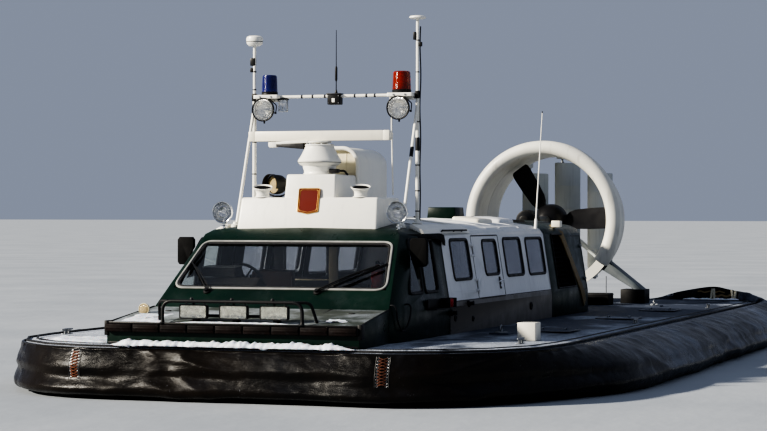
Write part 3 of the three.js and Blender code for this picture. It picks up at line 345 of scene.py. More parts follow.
def deck_paint():
    """Non-slip deck coating, dark blue, under drifts of frost that thicken towards the deck's edges."""
    finish = Finish("deck_coating", Specular_IOR_Level=0.3)
    dark, pale = (0.022, 0.030, 0.052), (0.044, 0.056, 0.088)
    tone = finish.mix(finish.band(finish.noise(1.3, 5), 0.35, 0.68), dark, pale)
    grit = finish.band(finish.cells(150), 0.10, 0.34)
    tone = finish.mix(finish.times(grit, 0.35), tone, (0.08, 0.095, 0.125))
    edge = finish.band(finish.math("ABSOLUTE", finish.axis("X"), 0), 1.75, 2.42, 0.0, 0.15)
    fore = finish.band(finish.axis("Y"), -4.8, -2.2, 0.17, 0.0)
    lee = finish.band(finish.axis("X"), -0.6, -1.6, 0.0, 0.10)
    drift = finish.noise(1.25, 8, 0.62, stretch=(1.0, 0.55, 1))
    drift = finish.math("ADD", drift, finish.math("ADD", edge, fore))
    drift = finish.math("ADD", drift, lee)
    grain = finish.band(finish.noise(75, 3), 0.32, 0.62, 0.5, 1.0)
    cover = finish.times(finish.band(drift, 0.56, 0.72), grain)
    cover = finish.times(cover, finish.band(finish.upward(), 0.2, 0.8, 0.1, 0.9))
    finish.colour(finish.mix(cover, tone, (0.52, 0.56, 0.63)))
    finish.rough(finish.band(cover, 0.0, 1.0, 0.62, 0.9))
    finish.relief((finish.cells(170), 0.0011), (cover, 0.006))
    return finish.material


def snow_cover():
    finish = Finish("snow", Subsurface_Weight=0.12, Subsurface_Scale=0.02, Roughness=0.7)
    crust, hollow = (0.80, 0.82, 0.86), (0.62, 0.67, 0.76)
    finish.colour(finish.mix(finish.band(finish.noise(22, 6, 0.65), 0.35, 0.68), hollow, crust))
    finish.rough(finish.band(finish.noise(210, 2), 0.4, 0.7, 0.6, 0.92))
    finish.relief((finish.noise(130, 4, 0.7), 0.002), (finish.noise(28, 5), 0.007))
    return finish.material


def glazing(name, tint, rough=(0.02, 0.09), film=0.16, shine=0.6):
    """Window glass with a thin film of dirt and frost."""
    finish = Finish(name, Transmission_Weight=1.0, IOR=1.45, Specular_IOR_Level=shine)
    haze = finish.band(finish.noise(5.5, 6, 0.66), 0.42, 0.75, 0.0, film)
    finish.colour(finish.mix(haze, tint, tuple(0.6 * c for c in tint)))
    finish.rough(finish.band(finish.noise(4.2, 6, 0.62), 0.42, 0.75, *rough))
    finish.relief((finish.noise(2.2, 2), 0.0006))
    return finish.material


def tinted(name, tint, deep, clear):
    """Dark reflecting glass that lets little light through, with drifts of haze."""
    finish = Finish(name, Transmission_Weight=clear, IOR=1.5, Specular_IOR_Level=0.75)
    finish.colour(finish.mix(finish.band(finish.noise(1.6, 4), 0.35, 0.68), tint, deep))
    finish.rough(finish.band(finish.noise(3.6, 6, 0.62), 0.4, 0.74, 0.04, 0.16))
    finish.relief((finish.noise(1.7, 2), 0.0008))
    return finish.material


def lens(name, tint, ribs=55.0, axis="X", clear=0.75):
    finish = Finish(name, Transmission_Weight=clear, IOR=1.42, Specular_IOR_Level=0.7)
    deep = tuple(0.82 * c for c in tint)
    finish.colour(finish.mix(finish.band(finish.noise(30, 4), 0.35, 0.7), tint, deep))
    finish.rough(finish.band(finish.noise(44, 3), 0.3, 0.7, 0.05, 0.16))
    finish.relief((finish.wave(ribs, axis), 0.0012))
    return finish.material


def dome(name, tint, deep):
    """Moulded lens of a beacon: deep tint and ring-shaped prisms."""
    finish = Finish(name, Transmission_Weight=0.55, IOR=1.46, Specular_IOR_Level=0.6)
    height = finish.wave(26, "Z")
    finish.colour(finish.mix(finish.band(finish.noise(9, 4), 0.35, 0.7), tint, deep))
    finish.rough(finish.band(finish.noise(30, 3), 0.3, 0.7, 0.08, 0.22))
    finish.relief((height, 0.0015))
    return finish.material


def cloth_cover(name, base, shade):
    finish = Finish(name, Sheen_Weight=0.25, Sheen_Roughness=0.5)
    finish.colour(finish.mix(finish.band(finish.noise(6, 5), 0.35, 0.7), base, shade))
    finish.rough(finish.band(finish.noise(40, 3), 0.3, 0.7, 0.62, 0.85))
    weave = finish.times(finish.wave(260, "X"), finish.wave(260, "Y"))
    finish.relief((weave, 0.0004), (finish.noise(14, 4), 0.003))
    return finish.material


add_camera()
add_stage()

M = {
    "green": painted("green_enamel", (0.0036, 0.0185, 0.0112), (0.0024, 0.0120, 0.0078), (0.26, 0.42),
                     frost=0.02, grime=0.10, Specular_IOR_Level=0.22),
    "green_top": painted("green_nonslip", (0.072, 0.082, 0.070), (0.036, 0.046, 0.040), (0.65, 0.9),
                         frost=0.36, grime=0.35, Specular_IOR_Level=0.25),
    "white": painted("white_enamel", (0.86, 0.845, 0.775), (0.79, 0.78, 0.72), (0.28, 0.44), grime=0.10),
    "cabin_white": painted("cabin_enamel", (0.74, 0.75, 0.76), (0.66, 0.675, 0.69), (0.3, 0.46), grime=0.16,
                           band=(0.728, 0.742, (0.105, 0.096, 0.085))),
    "cream": painted("cream_gelcoat", (0.84, 0.80, 0.68), (0.77, 0.735, 0.63), (0.3, 0.46), grime=0.08),
    "shell": painted("duct_enamel", (0.72, 0.71, 0.64), (0.62, 0.615, 0.57), (0.36, 0.54), grime=0.30),
    "grey": painted("grey_enamel", (0.50, 0.525, 0.52), (0.40, 0.43, 0.435), (0.4, 0.58), grime=0.3),
    "matte_black": painted("mirror_black", (0.004, 0.004, 0.0045), (0.008, 0.008, 0.0082), (0.6, 0.8),
                           grime=0.04, Specular_IOR_Level=0.12),
    "rope": painted("pale_rope", (0.52, 0.50, 0.40), (0.36, 0.35, 0.29), (0.75, 0.95), grime=0.2),
    "tan": painted("tan_strip", (0.20, 0.145, 0.062), (0.12, 0.088, 0.042), (0.5, 0.7), grime=0.45),
    "black": painted("black_enamel", (0.0055, 0.0055, 0.0062), (0.010, 0.0098, 0.0098), (0.38, 0.58),
                     frost=0.03, grime=0.05, Specular_IOR_Level=0.3),
    "lining": painted("cabin_lining", (0.034, 0.031, 0.028), (0.020, 0.0185, 0.018), (0.65, 0.85), grime=0.1,
                      Specular_IOR_Level=0.2),
    # Painted light: the pillar's own tan, raised well above it because the sun barely reaches inside the
    # cabin.
    "pillar": painted("lining_cream_painted_light", (0.80, 0.69, 0.44), (0.66, 0.56, 0.35), (0.6, 0.8), grime=0.05),
    # Near-black: the intake's slats, and the plugs in the ventilators' mouths, where it is painted shade.
    "mesh": painted("vent_shade_and_louvre_black", (0.0035, 0.0035, 0.004), (0.007, 0.007, 0.007), (0.75, 0.95), grime=0.02,
                    Specular_IOR_Level=0.1),
    "plate": painted("plate_enamel", (0.13, 0.016, 0.010), (0.09, 0.011, 0.008), (0.5, 0.65), grime=0.06,
                     Specular_IOR_Level=0.12),
    "panel": painted("intake_panel", (0.72, 0.66, 0.47), (0.60, 0.54, 0.38), (0.55, 0.75), grime=0.12),
    "gold": metal("gilt_border", (0.62, 0.40, 0.12), (0.44, 0.27, 0.08), (0.3, 0.5), 0.7),
    "chrome": metal("chrome_plate", (0.80, 0.81, 0.82), (0.66, 0.68, 0.70), (0.06, 0.2)),
    "mirrored": metal("reflector", (0.95, 0.95, 0.94), (0.88, 0.89, 0.89), (0.08, 0.20)),
    "steel": metal("steel_fittings", (0.30, 0.31, 0.32), (0.18, 0.19, 0.20), (0.35, 0.55)),
    "alloy": metal("alloy_strip", (0.14, 0.145, 0.16), (0.07, 0.075, 0.085), (0.4, 0.6), 0.6),
    "rust": painted("lacing_cord", (0.15, 0.045, 0.018), (0.08, 0.026, 0.012), (0.7, 0.9), grime=0.2),
    "rubber": rubber("seal_rubber", (0.0065, 0.0065, 0.008), (0.012, 0.012, 0.014), dust_and_sky_sheen=0.1),
    "fender": rubber("fender_rubber", (0.0050, 0.0030, 0.0028), (0.0095, 0.0050, 0.0044), (0.45, 0.65),
                     0.05, 0.12),
    "seal_grey": rubber("windshield_seal", (0.30, 0.30, 0.285), (0.21, 0.212, 0.205), (0.5, 0.7), 0.3),
    "tape": rubber("tape_black", (0.010, 0.010, 0.012), (0.020, 0.020, 0.022), (0.4, 0.6), 0.05),
    "skirt": skirt_rubber(),
    "deck": deck_paint(),
    "snow": snow_cover(),
    "glass": glazing("window_glass", (0.62, 0.68, 0.70)),
    "shield": glazing("windshield_glass", (0.90, 0.92, 0.90), (0.01, 0.03), 0.05, 0.32),
    "cabin_glass": tinted("cabin_window_glass", (0.62, 0.64, 0.72), (0.53, 0.55, 0.64), 0.84),
    "lamp_glass": lens("lamp_lens", (0.90, 0.90, 0.82), 11, "X", 0.93),
    "clear_lens": lens("headlamp_lens", (0.98, 0.98, 0.98), 9, "X", 0.985),
    "spot_glass": lens("spotlight_lens", (0.97, 0.97, 0.95), 34, "X", 0.94),
    "tan_glass": lens("amber_tan_lens", (0.62, 0.50, 0.28), 40, "X", 0.4),
    "clear_box": lens("clear_plastic", (0.80, 0.82, 0.84), 20, "Z", 0.85),
    "blue": dome("blue_dome", (0.020, 0.022, 0.26), (0.012, 0.012, 0.16)),
    "red": dome("orange_dome", (0.44, 0.032, 0.008), (0.22, 0.013, 0.004)),
    # Painted shade: the legs' grey is darkened far below the grey of the struts and rudders, for the shade
    # the legs stand in.
    "leg_grey_painted_shade": painted("leg_enamel_painted_shade", (0.080, 0.098, 0.110), (0.055, 0.068, 0.078), (0.4, 0.58), grime=0.3),
    "nav_red": dome("red_lens", (0.75, 0.02, 0.02), (0.5, 0.01, 0.01)),
    "nav_green": dome("green_lens", (0.02, 0.45, 0.16), (0.01, 0.3, 0.1)),
    "red_paint": painted("extinguisher_enamel", (0.34, 0.020, 0.012), (0.24, 0.014, 0.010), (0.3, 0.45),
                         grime=0.1),
    "seat": cloth_cover("seat_cloth", (0.060, 0.026, 0.019), (0.038, 0.017, 0.013)),
    "screen": tinted("screen_glass", (0.010, 0.014, 0.016), (0.006, 0.008, 0.010), 0.1),
    "engine": painted("engine_paint", (0.13, 0.14, 0.145), (0.08, 0.085, 0.09), (0.5, 0.7), grime=0.5),
    "propeller": painted("blade_black", (0.0055, 0.0055, 0.007), (0.010, 0.010, 0.012), (0.32, 0.5),
                         grime=0.05, Specular_IOR_Level=0.25),
}


# Mesh making: every maker returns a bmesh in metres, from points given as x, station, height in mm

def merge_flat(bm):
    bmesh.ops.dissolve_limit(bm, angle_limit=rad(0.6), verts=bm.verts[:], edges=bm.edges[:])


def round_edges(bm, width, steps=2, angle=28, clamp=True):
    sharp = [e for e in bm.edges if len(e.link_faces) == 2 and e.calc_face_angle(0.0) > rad(angle)]
    if sharp and width > 0:
        bmesh.ops.bevel(bm, geom=sharp, offset=width * MM, offset_type="OFFSET", segments=steps,
                        profile=0.5, affect="EDGES", clamp_overlap=clamp)
    return bm


def hull_of(points, bevel=0, steps=2):
    bm = bmesh.new()
    for p in points:
        bm.verts.new(at(*p))
    result = bmesh.ops.convex_hull(bm, input=bm.verts[:])
    spare = {v for v in result["geom_interior"] + result["geom_unused"] if isinstance(v, bmesh.types.BMVert)}
    bmesh.ops.delete(bm, geom=list(spare), context="VERTS")
    merge_flat(bm)
    return round_edges(bm, bevel, steps)


def mirrored(points):
    return list(points) + [(-x, d, z) for x, d, z in points]


def block(low, high, bevel=0, steps=2):
    xs, ds, zs = zip(low, high)
    return hull_of([(x, d, z) for x in xs for d in ds for z in zs], bevel, steps)


def loft(rings, closed=False, caps=True):
    """A skin over rings of Vectors in metres."""
    bm = bmesh.new()
    rows = [[bm.verts.new(p) for p in ring] for ring in rings]
    count = len(rows[0])
    pairs = list(zip(rows, rows[1:] + ([rows[0]] if closed else [])))
    for here, there in pairs:
        for j in range(count):
            k = (j + 1) % count
            bm.faces.new((here[j], here[k], there[k], there[j]))
    if caps and not closed:
        bm.faces.new(rows[0][::-1])
        bm.faces.new(rows[-1])
    bmesh.ops.recalc_face_normals(bm, faces=bm.faces[:])
    return bm


def ring_about(centre, normal, radius, sides, start=None):
    side = (normal.orthogonal() if start is None else start - normal * start.dot(normal)).normalized()
    up = normal.cross(side)
    turns = [2 * math.pi * i / sides for i in range(sides)]
    return [centre + side * (radius * math.cos(a)) + up * (radius * math.sin(a)) for a in turns]


def smooth_path(points, per_span=6):
    """Catmull-Rom through Vectors."""
    last = len(points) - 1
    result = []
    for i in range(last):
        pick = [points[min(max(i + k, 0), last)] for k in (-1, 0, 1, 2)]
        result += [spline(*pick, j / per_span) for j in range(per_span)]
    return result + [points[-1].copy()]


def spline(a, b, c, d, t):
    bend, twist = 2 * a - 5 * b + 4 * c - d, 3 * b - a - 3 * c + d
    return 0.5 * (2 * b + (c - a) * t + bend * t * t + twist * t ** 3)


def tube_along(path, radius, sides=10, closed=False):
    """A round tube along Vectors; radius in mm, one number or one a point."""
    n = len(path)
    radii = [radius] * n if isinstance(radius, (int, float)) else radius
    tangents = []
    for i in range(n):
        before = path[i - 1] if i > 0 or closed else path[i]
        after = path[(i + 1) % n] if i < n - 1 or closed else path[i]
        tangents.append((after - before).normalized())
    side = tangents[0].orthogonal().normalized()
    rings = []
    for i in range(n):
        side = (side - tangents[i] * side.dot(tangents[i])).normalized()
        rings.append(ring_about(path[i], tangents[i], radii[i] * MM, sides, side))
    return loft(rings, closed)


def tube(points, radius, sides=10, bend=0, closed=False):
    """A tube through (x, station, height) points, its corners rounded to a bend radius in mm."""
    path = [at(*p) for p in points]
    if bend:
        path = rounded_path(path, bend * MM, 6, closed)
    return tube_along(path, radius, sides, closed)


def rounded_path(path, radius, steps=5, closed=False):
    """Corners of a polyline replaced by arcs of about that radius."""
    n = len(path)
    result = []
    for i, p in enumerate(path):
        if not closed and i in (0, n - 1):
            result.append(p.copy())
            continue
        a, b = path[i - 1] - p, path[(i + 1) % n] - p
        turn = a.angle(b)
        cut = min(radius / max(math.tan(turn / 2), 0.05), a.length * 0.48, b.length * 0.48)
        start, end = p + a.normalized() * cut, p + b.normalized() * cut
        for j in range(steps + 1):
            t = j / steps
            result.append((1 - t) ** 2 * start + 2 * t * (1 - t) * p + t * t * end)
    return result


def bar(a, b, radius, sides=16, end_radius=None, bevel=0):
    start, end = at(*a), at(*b)
    axis = (end - start).normalized()
    side = axis.orthogonal().normalized()
    last = radius if end_radius is None else end_radius
    ends = ((start, radius), (end, last))
    bm = loft([ring_about(place, axis, size * MM, sides, side) for place, size in ends])
    return round_edges(bm, bevel, 2, 50) if bevel else bm


def turned(profile, centre, axis="Z", steps=40, arc=None):
    """A round body from (radius, along) pairs about an upright axis, or a fore-and-aft one."""
    rings = []
    count = steps if arc is None else steps + 1
    first, last = (0, 360) if arc is None else arc
    for i in range(count):
        a = rad(first + (last - first) * i / steps)
        ring = []
        for r, along in profile:
            if axis == "Z":
                ring.append(at(centre[0] + r * math.cos(a), centre[1] + r * math.sin(a), along))
            else:
                ring.append(at(centre[0] + r * math.cos(a), along, centre[1] + r * math.sin(a)))
        rings.append(ring)
    bm = bmesh.new()
    rows = [[bm.verts.new(p) for p in ring] for ring in rings]
    pairs = list(zip(rows, rows[1:] + ([rows[0]] if arc is None else [])))
    m = len(profile)
    for here, there in pairs:
        for j in range(m - 1):
            bm.faces.new((here[j], here[j + 1], there[j + 1], there[j]))
    if arc is not None:
        bm.faces.new(rows[0])
        bm.faces.new(rows[-1])
    bmesh.ops.remove_doubles(bm, verts=bm.verts[:], dist=1e-6)
    bmesh.ops.recalc_face_normals(bm, faces=bm.faces[:])
    return bm


def sweep(path, normals, section, closed=True, caps=True):
    """A section of (out, up) pairs in mm swept on a path: up follows the normals, out is to its right."""
    n = len(path)
    rings = []
    for i in range(n):
        before = path[i - 1] if i > 0 or closed else path[i]
        after = path[(i + 1) % n] if i < n - 1 or closed else path[i]
        tangent = (after - before).normalized()
        up = (normals[i] - tangent * normals[i].dot(tangent)).normalized()
        out = tangent.cross(up)
        rings.append([path[i] + out * (a * MM) + up * (b * MM) for a, b in section])
    return loft(rings, closed, caps)


def prism(points, offset):
    """A flat outline of Vectors pushed along a Vector offset."""
    bm = bmesh.new()
    face = bm.faces.new([bm.verts.new(p) for p in points])
    result = bmesh.ops.extrude_face_region(bm, geom=[face])
    pushed = [v for v in result["geom"] if isinstance(v, bmesh.types.BMVert)]
    bmesh.ops.translate(bm, verts=pushed, vec=offset)
    bmesh.ops.recalc_face_normals(bm, faces=bm.faces[:])
    return bm


def rounded_outline(corners, radius, steps=5):
    """(a, b) corners with arcs of one radius, as (a, b) pairs."""
    path = rounded_path([Vector((a, b, 0)) for a, b in corners], radius, steps, True)
    return [(p.x, p.y) for p in path]


def rounded_box(low, high, radius, steps=5):
    """A rectangle's outline with rounded corners, as (a, b) pairs."""
    (a0, b0), (a1, b1) = low, high
    return rounded_outline([(a0, b0), (a1, b0), (a1, b1), (a0, b1)], radius, steps)


def bead(half, foot, shoulder, flat, top):
    """The section of a strip with sloping shoulders."""
    return [(-half, foot), (-half, shoulder), (-flat, top), (flat, top), (half, shoulder), (half, foot)]


def boss(place, normal, rows, sides=16):
    """A round fitting that stands on a place, from (height, radius) rows in mm."""
    return loft([ring_about(place + normal * h * MM, normal, r * MM, sides) for h, r in rows])


def facing(profile, x, d, z, steps):
    """A round body that faces forward, from (radius, distance aft of d) pairs."""
    return turned([(radius, d + along) for radius, along in profile], (x, z), "Y", steps)


def bolt_head(place, normal, radius, height, sides=6):
    side = normal.orthogonal().normalized()
    foot = ring_about(place, normal, radius * MM, sides, side)
    head = ring_about(place + normal * height * MM, normal, 0.86 * radius * MM, sides, side)
    return loft([foot, head])


def joined(*parts):
    bm = bmesh.new()
    for part in parts:
        mesh = bpy.data.meshes.new("part")
        part.to_mesh(mesh)
        part.free()
        bm.from_mesh(mesh)
        bpy.data.meshes.remove(mesh)
    return bm


def moved(bm, matrix):
    bmesh.ops.transform(bm, matrix=matrix, verts=bm.verts[:])
    return bm


class Piece:
    """One named object made of parts, each with its own finish."""

    def __init__(self, name):
        self.name, self.bm, self.finishes = name, bmesh.new(), []

    def add(self, part, finish):
        if finish not in self.finishes:
            self.finishes.append(finish)
        index = self.finishes.index(finish)
        for face in part.faces:
            face.material_index = index
        mesh = bpy.data.meshes.new("part")
        part.to_mesh(mesh)
        part.free()
        self.bm.from_mesh(mesh)
        bpy.data.meshes.remove(mesh)
        return self

    def done(self, body="root", replaces=(), slot=None, crease=32):
        mesh = bpy.data.meshes.new(self.name)
        self.bm.to_mesh(mesh)
        self.bm.free()
        for finish in self.finishes:
            mesh.materials.append(M[finish])
        mesh.shade_smooth()
        mesh.set_sharp_from_angle(angle=rad(crease))
        obj = bpy.data.objects.new(self.name, mesh)
        bpy.context.scene.collection.objects.link(obj)
        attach(obj, body)
        if replaces:
            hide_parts(*replaces)
        return obj


def copied(node, bevel=0, steps=2, angle=28):
    """A node's solid as one clean mesh, with its edges rounded where a bevel is given."""
    bm = bmesh.new()
    bm.from_mesh(frame["nodes"][node].data)
    bmesh.ops.remove_doubles(bm, verts=bm.verts[:], dist=2e-5)
    if bevel:
        merge_flat(bm)
        round_edges(bm, bevel, steps, angle, clamp=False)
    return bm


def dress(node, finish):
    """A carried-over solid gets a procedural surface."""
    mesh = frame["nodes"][node].data
    mesh.materials.clear()
    mesh.materials.append(M[finish])


# The cabin's outer skin, to place fittings on it

CABIN_HALF = [(1100, 447), (1100, 690), (1000, 1320), (962, 1372), (880, 1408), (520, 1458), (0, 1480)]
CAB_REAR, CABIN_REAR, BAY_REAR = 2450, 6050, 7640
RAKE_FOOT, RAKE_HEAD = (885, 724), (1607, 1339)
CAB_FRONT = [
    (1058, 885, 447), (1058, 885, 724), (905, 1607, 1339), (850, 1675, 1378), (0, 1675, 1392),
    (1100, 1080, 447), (1100, 1080, 690), (1000, 1800, 1320),
]
OUTSIDE = 3000


def skin_tree():
    cab = hull_of(mirrored(CAB_FRONT + [(x, CAB_REAR, z) for x, z in CABIN_HALF]))
    aft = hull_of(mirrored([(x, d, z) for x, z in CABIN_HALF for d in (CAB_REAR, BAY_REAR)]))
    both = joined(cab, aft)
    tree = BVHTree.FromBMesh(both)
    both.free()
    return tree


SKIN = skin_tree()


def on_side(side, d, z):
    """The side wall's place and normal at a station and height."""
    place, normal, _, _ = SKIN.ray_cast(at(side * OUTSIDE, d, z), -side * PORT)
    return place, normal


def on_roof(x, d):
    """The roof's place and normal over a point."""
    place, normal, _, _ = SKIN.ray_cast(at(x, d, OUTSIDE), -UP)
    return place, normal


def on_rake(x, along, out=0):
    """A place on the raked front: x, the way up the slope from its foot, and how far out of it."""
    d, z = RAKE_FOOT
    slope = Vector((RAKE_HEAD[0] - d, RAKE_HEAD[1] - z)).normalized()
    return at(x, d + slope.x * along - slope.y * out, z + slope.y * along + slope.x * out)


RAKE_NORMAL = (on_rake(0, 0, 1000) - on_rake(0, 0, 0)).normalized()


# Skirt: rows of the deck's edge as x, station, belly, foot, crest

EDGE_ROWS = [
    (0, 0, 120, -40, 420), (700, 0, 120, -45, 420), (1300, 0, 120, -60, 420), (1720, 165, 105, -80, 420),
    (2080, 500, 75, -90, 420), (2310, 960, 90, -40, 420), (2390, 1560, 270, 170, 425),
    (2400, 2300, 460, 380, 425), (2400, 3800, 520, 430, 420), (2400, 5600, 515, 430, 420),
    (2400, 7400, 520, 430, 420), (2400, 9300, 515, 430, 425), (2400, 11140, 400, 340, 445),
    (2340, 11365, 330, 260, 490), (2190, 11520, 260, 180, 535), (1970, 11580, 200, 140, 585),
    (1750, 11580, 200, 120, 615), (1330, 11580, 200, 120, 545), (960, 11580, 200, 120, 450),
    (0, 11580, 200, 120, 430),
]
LOOP = EDGE_ROWS + [(-x, d, b, f, c) for x, d, b, f, c in EDGE_ROWS[-2:0:-1]]
TANK_TOP = 420
# Where each bag starts and ends on the loop, and its rings from one row to the next
SKIRT_RUNS = {"bow": (-6, 6), "port": (6, 12), "stern": (12, 26), "starboard": (26, 32)}
RINGS_A_ROW = {"bow": 34, "port": 84, "stern": 26, "starboard": 84}
OUTER_STEPS = 6
# The section's places that belong to its outer side, and the lowest height of the fabric in metres
OUTER_FIRST, OUTER_END = 2, 10
GROUND_GAP = 0.0015
# Where the fabric is gathered: x, y, height and reach in metres, strength
GATHERS = [
    (-0.50, -5.95, 0.31, 1.25, 1.0), (1.36, -5.93, 0.24, 0.8, 0.6), (-2.0, -5.3, 0.28, 1.0, 0.7),
    (2.75, -3.2, 0.40, 1.1, 0.6), (2.9, 1.6, 0.36, 1.3, 0.6), (2.4, 5.5, 0.5, 1.2, 1.0),
    (-2.8, -2.0, 0.38, 1.2, 0.6), (-2.9, 2.3, 0.36, 1.3, 0.6), (-2.4, 5.5, 0.5, 1.2, 1.0),
    (0.4, 5.9, 0.34, 1.1, 0.7),
]


def loop_outward():
    """The outward direction at each row of the loop, longer at its corners."""
    n = len(LOOP)
    outs = []
    for i in range(n):
        here = Vector(LOOP[i][:2])
        legs = []
        for a, b in ((Vector(LOOP[i - 1][:2]), here), (here, Vector(LOOP[(i + 1) % n][:2]))):
            leg = b - a
            legs.append(Vector((leg.y, -leg.x)).normalized())
        out = (legs[0] + legs[1]).normalized()
        outs.append(out / out.dot(legs[0]))
    return outs


def skirt_points(row, out):
    x, d, belly, foot, crest = row
    upper = max(crest, TANK_TOP)
    section = [
        (0.4, 381), (0.4, TANK_TOP), (belly * 0.12 + 12, upper - 1), (belly * 0.42, upper * 0.93),
        (belly * 0.72, upper * 0.76), (belly * 0.93, upper * 0.55), (belly, upper * 0.34),
        (belly * 0.95, upper * 0.14), (belly * 0.5 + foot * 0.5, 12), (foot, 0), (-235, 0), (-330, 40),
        (-400, 112),
    ]
    return [at(x + o * out.x, d + o * out.y, z) for o, z in section]


OUTWARD = loop_outward()
SECTIONS = [skirt_points(row, out) for row, out in zip(LOOP, OUTWARD)]


def run_table():
    """Distance round the skirt at each whole loop place."""
    belly = 6
    table = [0.0]
    for here, there in zip(SECTIONS, SECTIONS[1:] + SECTIONS[:1]):
        table.append(table[-1] + (there[belly] - here[belly]).length)
    return table


RUNS = run_table()


def run_at(u):
    """Distance round the skirt at any loop place."""
    turns, rest = divmod(u, len(LOOP))
    i = int(rest)
    return turns * RUNS[-1] + RUNS[i] + (RUNS[i + 1] - RUNS[i]) * (rest - i)


def ridge(value, sharp=1.5):
    """A fold's section, from 0 in its wide hollow to 1 on its narrow crest."""
    return (1 - abs(math.sin(value))) ** sharp


def ramp(value, low, high):
    t = min(max((value - low) / (high - low), 0.0), 1.0)
    return t * t * (3 - 2 * t)


def hump(value, middle, width):
    return math.exp(-((value - middle) / width) ** 2)


def gathered(place):
    """How far the folds that run together at the gathers stand out, in mm."""
    total = 0.0
    for x, y, z, reach, strength in GATHERS:
        dx, dy, dz = place.x - x, place.y - y, (place.z - z) * 1.7
        flat = math.hypot(dx, dy)
        away = math.hypot(flat, dz)
        if away > reach:
            continue
        angle = math.atan2(dz, flat * (1 if dx - dy > 0 else -1))
        near = (1 - away / reach) ** 1.2 * ramp(away, 0.02, 0.30)
        total += ridge(angle * 2.6 + noise.noise(place * 1.5) * 1.9 + x, 1.3) * 19 * strength * near
        total -= 16 * strength * hump(away, 0, 0.085)
    return total


def crease(place, run, share):
    """How far the slack fabric stands out, in mm: billows, slanting folds and a roll at the foot."""
    z = place.z

    def drift(along, up, seed):
        return noise.noise(Vector((run * along, z * up, seed)))

    fade = ramp(share, 0.0, 0.07) * ramp(share, 1.0, 0.9)
    slow, quick = drift(0.5, 1.3, 4.0), drift(1.6, 4.0, 9.0)
    here = ramp(drift(0.75, 0.8, 21.0), -0.2, 0.3)
    there = ramp(drift(0.6, 0.7, 33.0), -0.15, 0.35)
    billow = drift(0.8, 2.4, 1.0) * 22
    slant = ridge(run * 1.45 + z * 8.5 + slow * 3.4 + quick * 0.7) * here * 20
    cross = ridge(run * 1.15 - z * 10.5 + slow * 3.0 + quick * 0.6 + 1.3, 1.9) * there * 18
    foot = math.cos((z - 0.085 - slow * 0.025) * 27) * 19 * ramp(z, 0.30, 0.20) * ramp(z, 0.0, 0.04)
    rolls = ridge(z * 12.5 + slow * 2.6 + quick * 0.35 + 0.6, 1.2) * hump(share, 0.5, 0.2) * 9 * here
    hem = ridge(run * 11.0 + slow * 5 + quick * 1.4) * hump(share, 0.10, 0.09) * 6.5
    fine = drift(6.5, 17, 7.7) * 3.4 + noise.noise(place * 19)
    return fade * (billow + slant + cross + foot + rolls + hem + fine + gathered(place) - 12)


def skirt_ring(u, outer_steps):
    """The skirt's section at loop place u, creased, with extra points on its outer side."""
    i = math.floor(u)
    picks = [SECTIONS[(i + k) % len(LOOP)] for k in (-1, 0, 1, 2)]
    raw = [spline(*(pick[j] for pick in picks), u - i) for j in range(len(picks[0]))]
    fine = smooth_path(raw[OUTER_FIRST:OUTER_END], outer_steps)
    across = raw[OUTER_FIRST] - raw[OUTER_END]
    out = Vector((across.x, across.y, 0)).normalized()
    run = run_at(u)
    last = len(fine) - 1
    result = raw[:OUTER_FIRST]
    for j, p in enumerate(fine):
        share = j / last
        along = (fine[min(j + 1, last)] - fine[max(j - 1, 0)]).normalized()
        normal = out.cross(UP).cross(along)
        if normal.dot(out) < 0 and share < 0.8:
            normal = -normal
        q = p + normal.normalized() * (crease(p, run, share) * MM)
        q.z = max(q.z, GROUND_GAP)
        result.append(q)
    return result + raw[OUTER_END:]


SKIRT_TREES = {}


def make_skirt():
    for name, (first, last) in SKIRT_RUNS.items():
        per, outer_steps = RINGS_A_ROW[name], OUTER_STEPS
        count = (last - first) * per
        bag = loft([skirt_ring(first + i / per, outer_steps) for i in range(count + 1)])
        SKIRT_TREES[name] = BVHTree.FromBMesh(bag)
        piece = Piece(f"skirt_bag_{name}")
        piece.add(bag, "skirt")
        made = piece.done(replaces=[f"skirt_{name}"], slot="skirt_rubber", crease=75)


def on_skirt(run, place, direction):
    """Where a line meets a skirt bag, with its normal."""
    spot, normal, _, _ = SKIRT_TREES[run].ray_cast(place, direction)
    return spot, normal


def edge_line(per, outward, height):
    """A closed line of points round the deck's edge, with the outward directions."""
    points, outs = [], []
    n = len(LOOP)
    for i in range(n * per):
        k, t = i // per, i % per / per
        (x0, d0), (x1, d1) = LOOP[k][:2], LOOP[(k + 1) % n][:2]
        out = OUTWARD[k].lerp(OUTWARD[(k + 1) % n], t)
        x, d = x0 + (x1 - x0) * t, d0 + (d1 - d0) * t
        points.append(at(x + out.x * outward, d + out.y * outward, height))
        outs.append(Vector((out.x, out.y, 0)).normalized())
    return points, outs


EDGE_POINTS = 10
BOLT_GAP = 0.24


def make_deck_edge():
    """Clamp strip that holds the skirt to the hull's edge, with its bolts, and a rope-like rubbing bead."""
    piece = Piece("skirt_clamp_strip")
    path, outs = edge_line(EDGE_POINTS, 1.5, 402)
    piece.add(sweep(path, outs, bead(14, 0, 8, 11, 11)), "black")
    length = 0.0
    for a, b, out in zip(path, path[1:] + path[:1], outs):
        step = (b - a).length
        while length < step:
            piece.add(bolt_head(a.lerp(b, length / step) + out * 0.011, out, 6, 4), "steel")
            length += BOLT_GAP
        length -= step
    piece.done(slot="black_trim")
    lip = Piece("deck_edge_lip")
    lip.add(sweep(*edge_line(EDGE_POINTS, -9, 434), bead(9, -7, 6, 4, 12)), "rubber")
    lip.done(slot="black_trim")


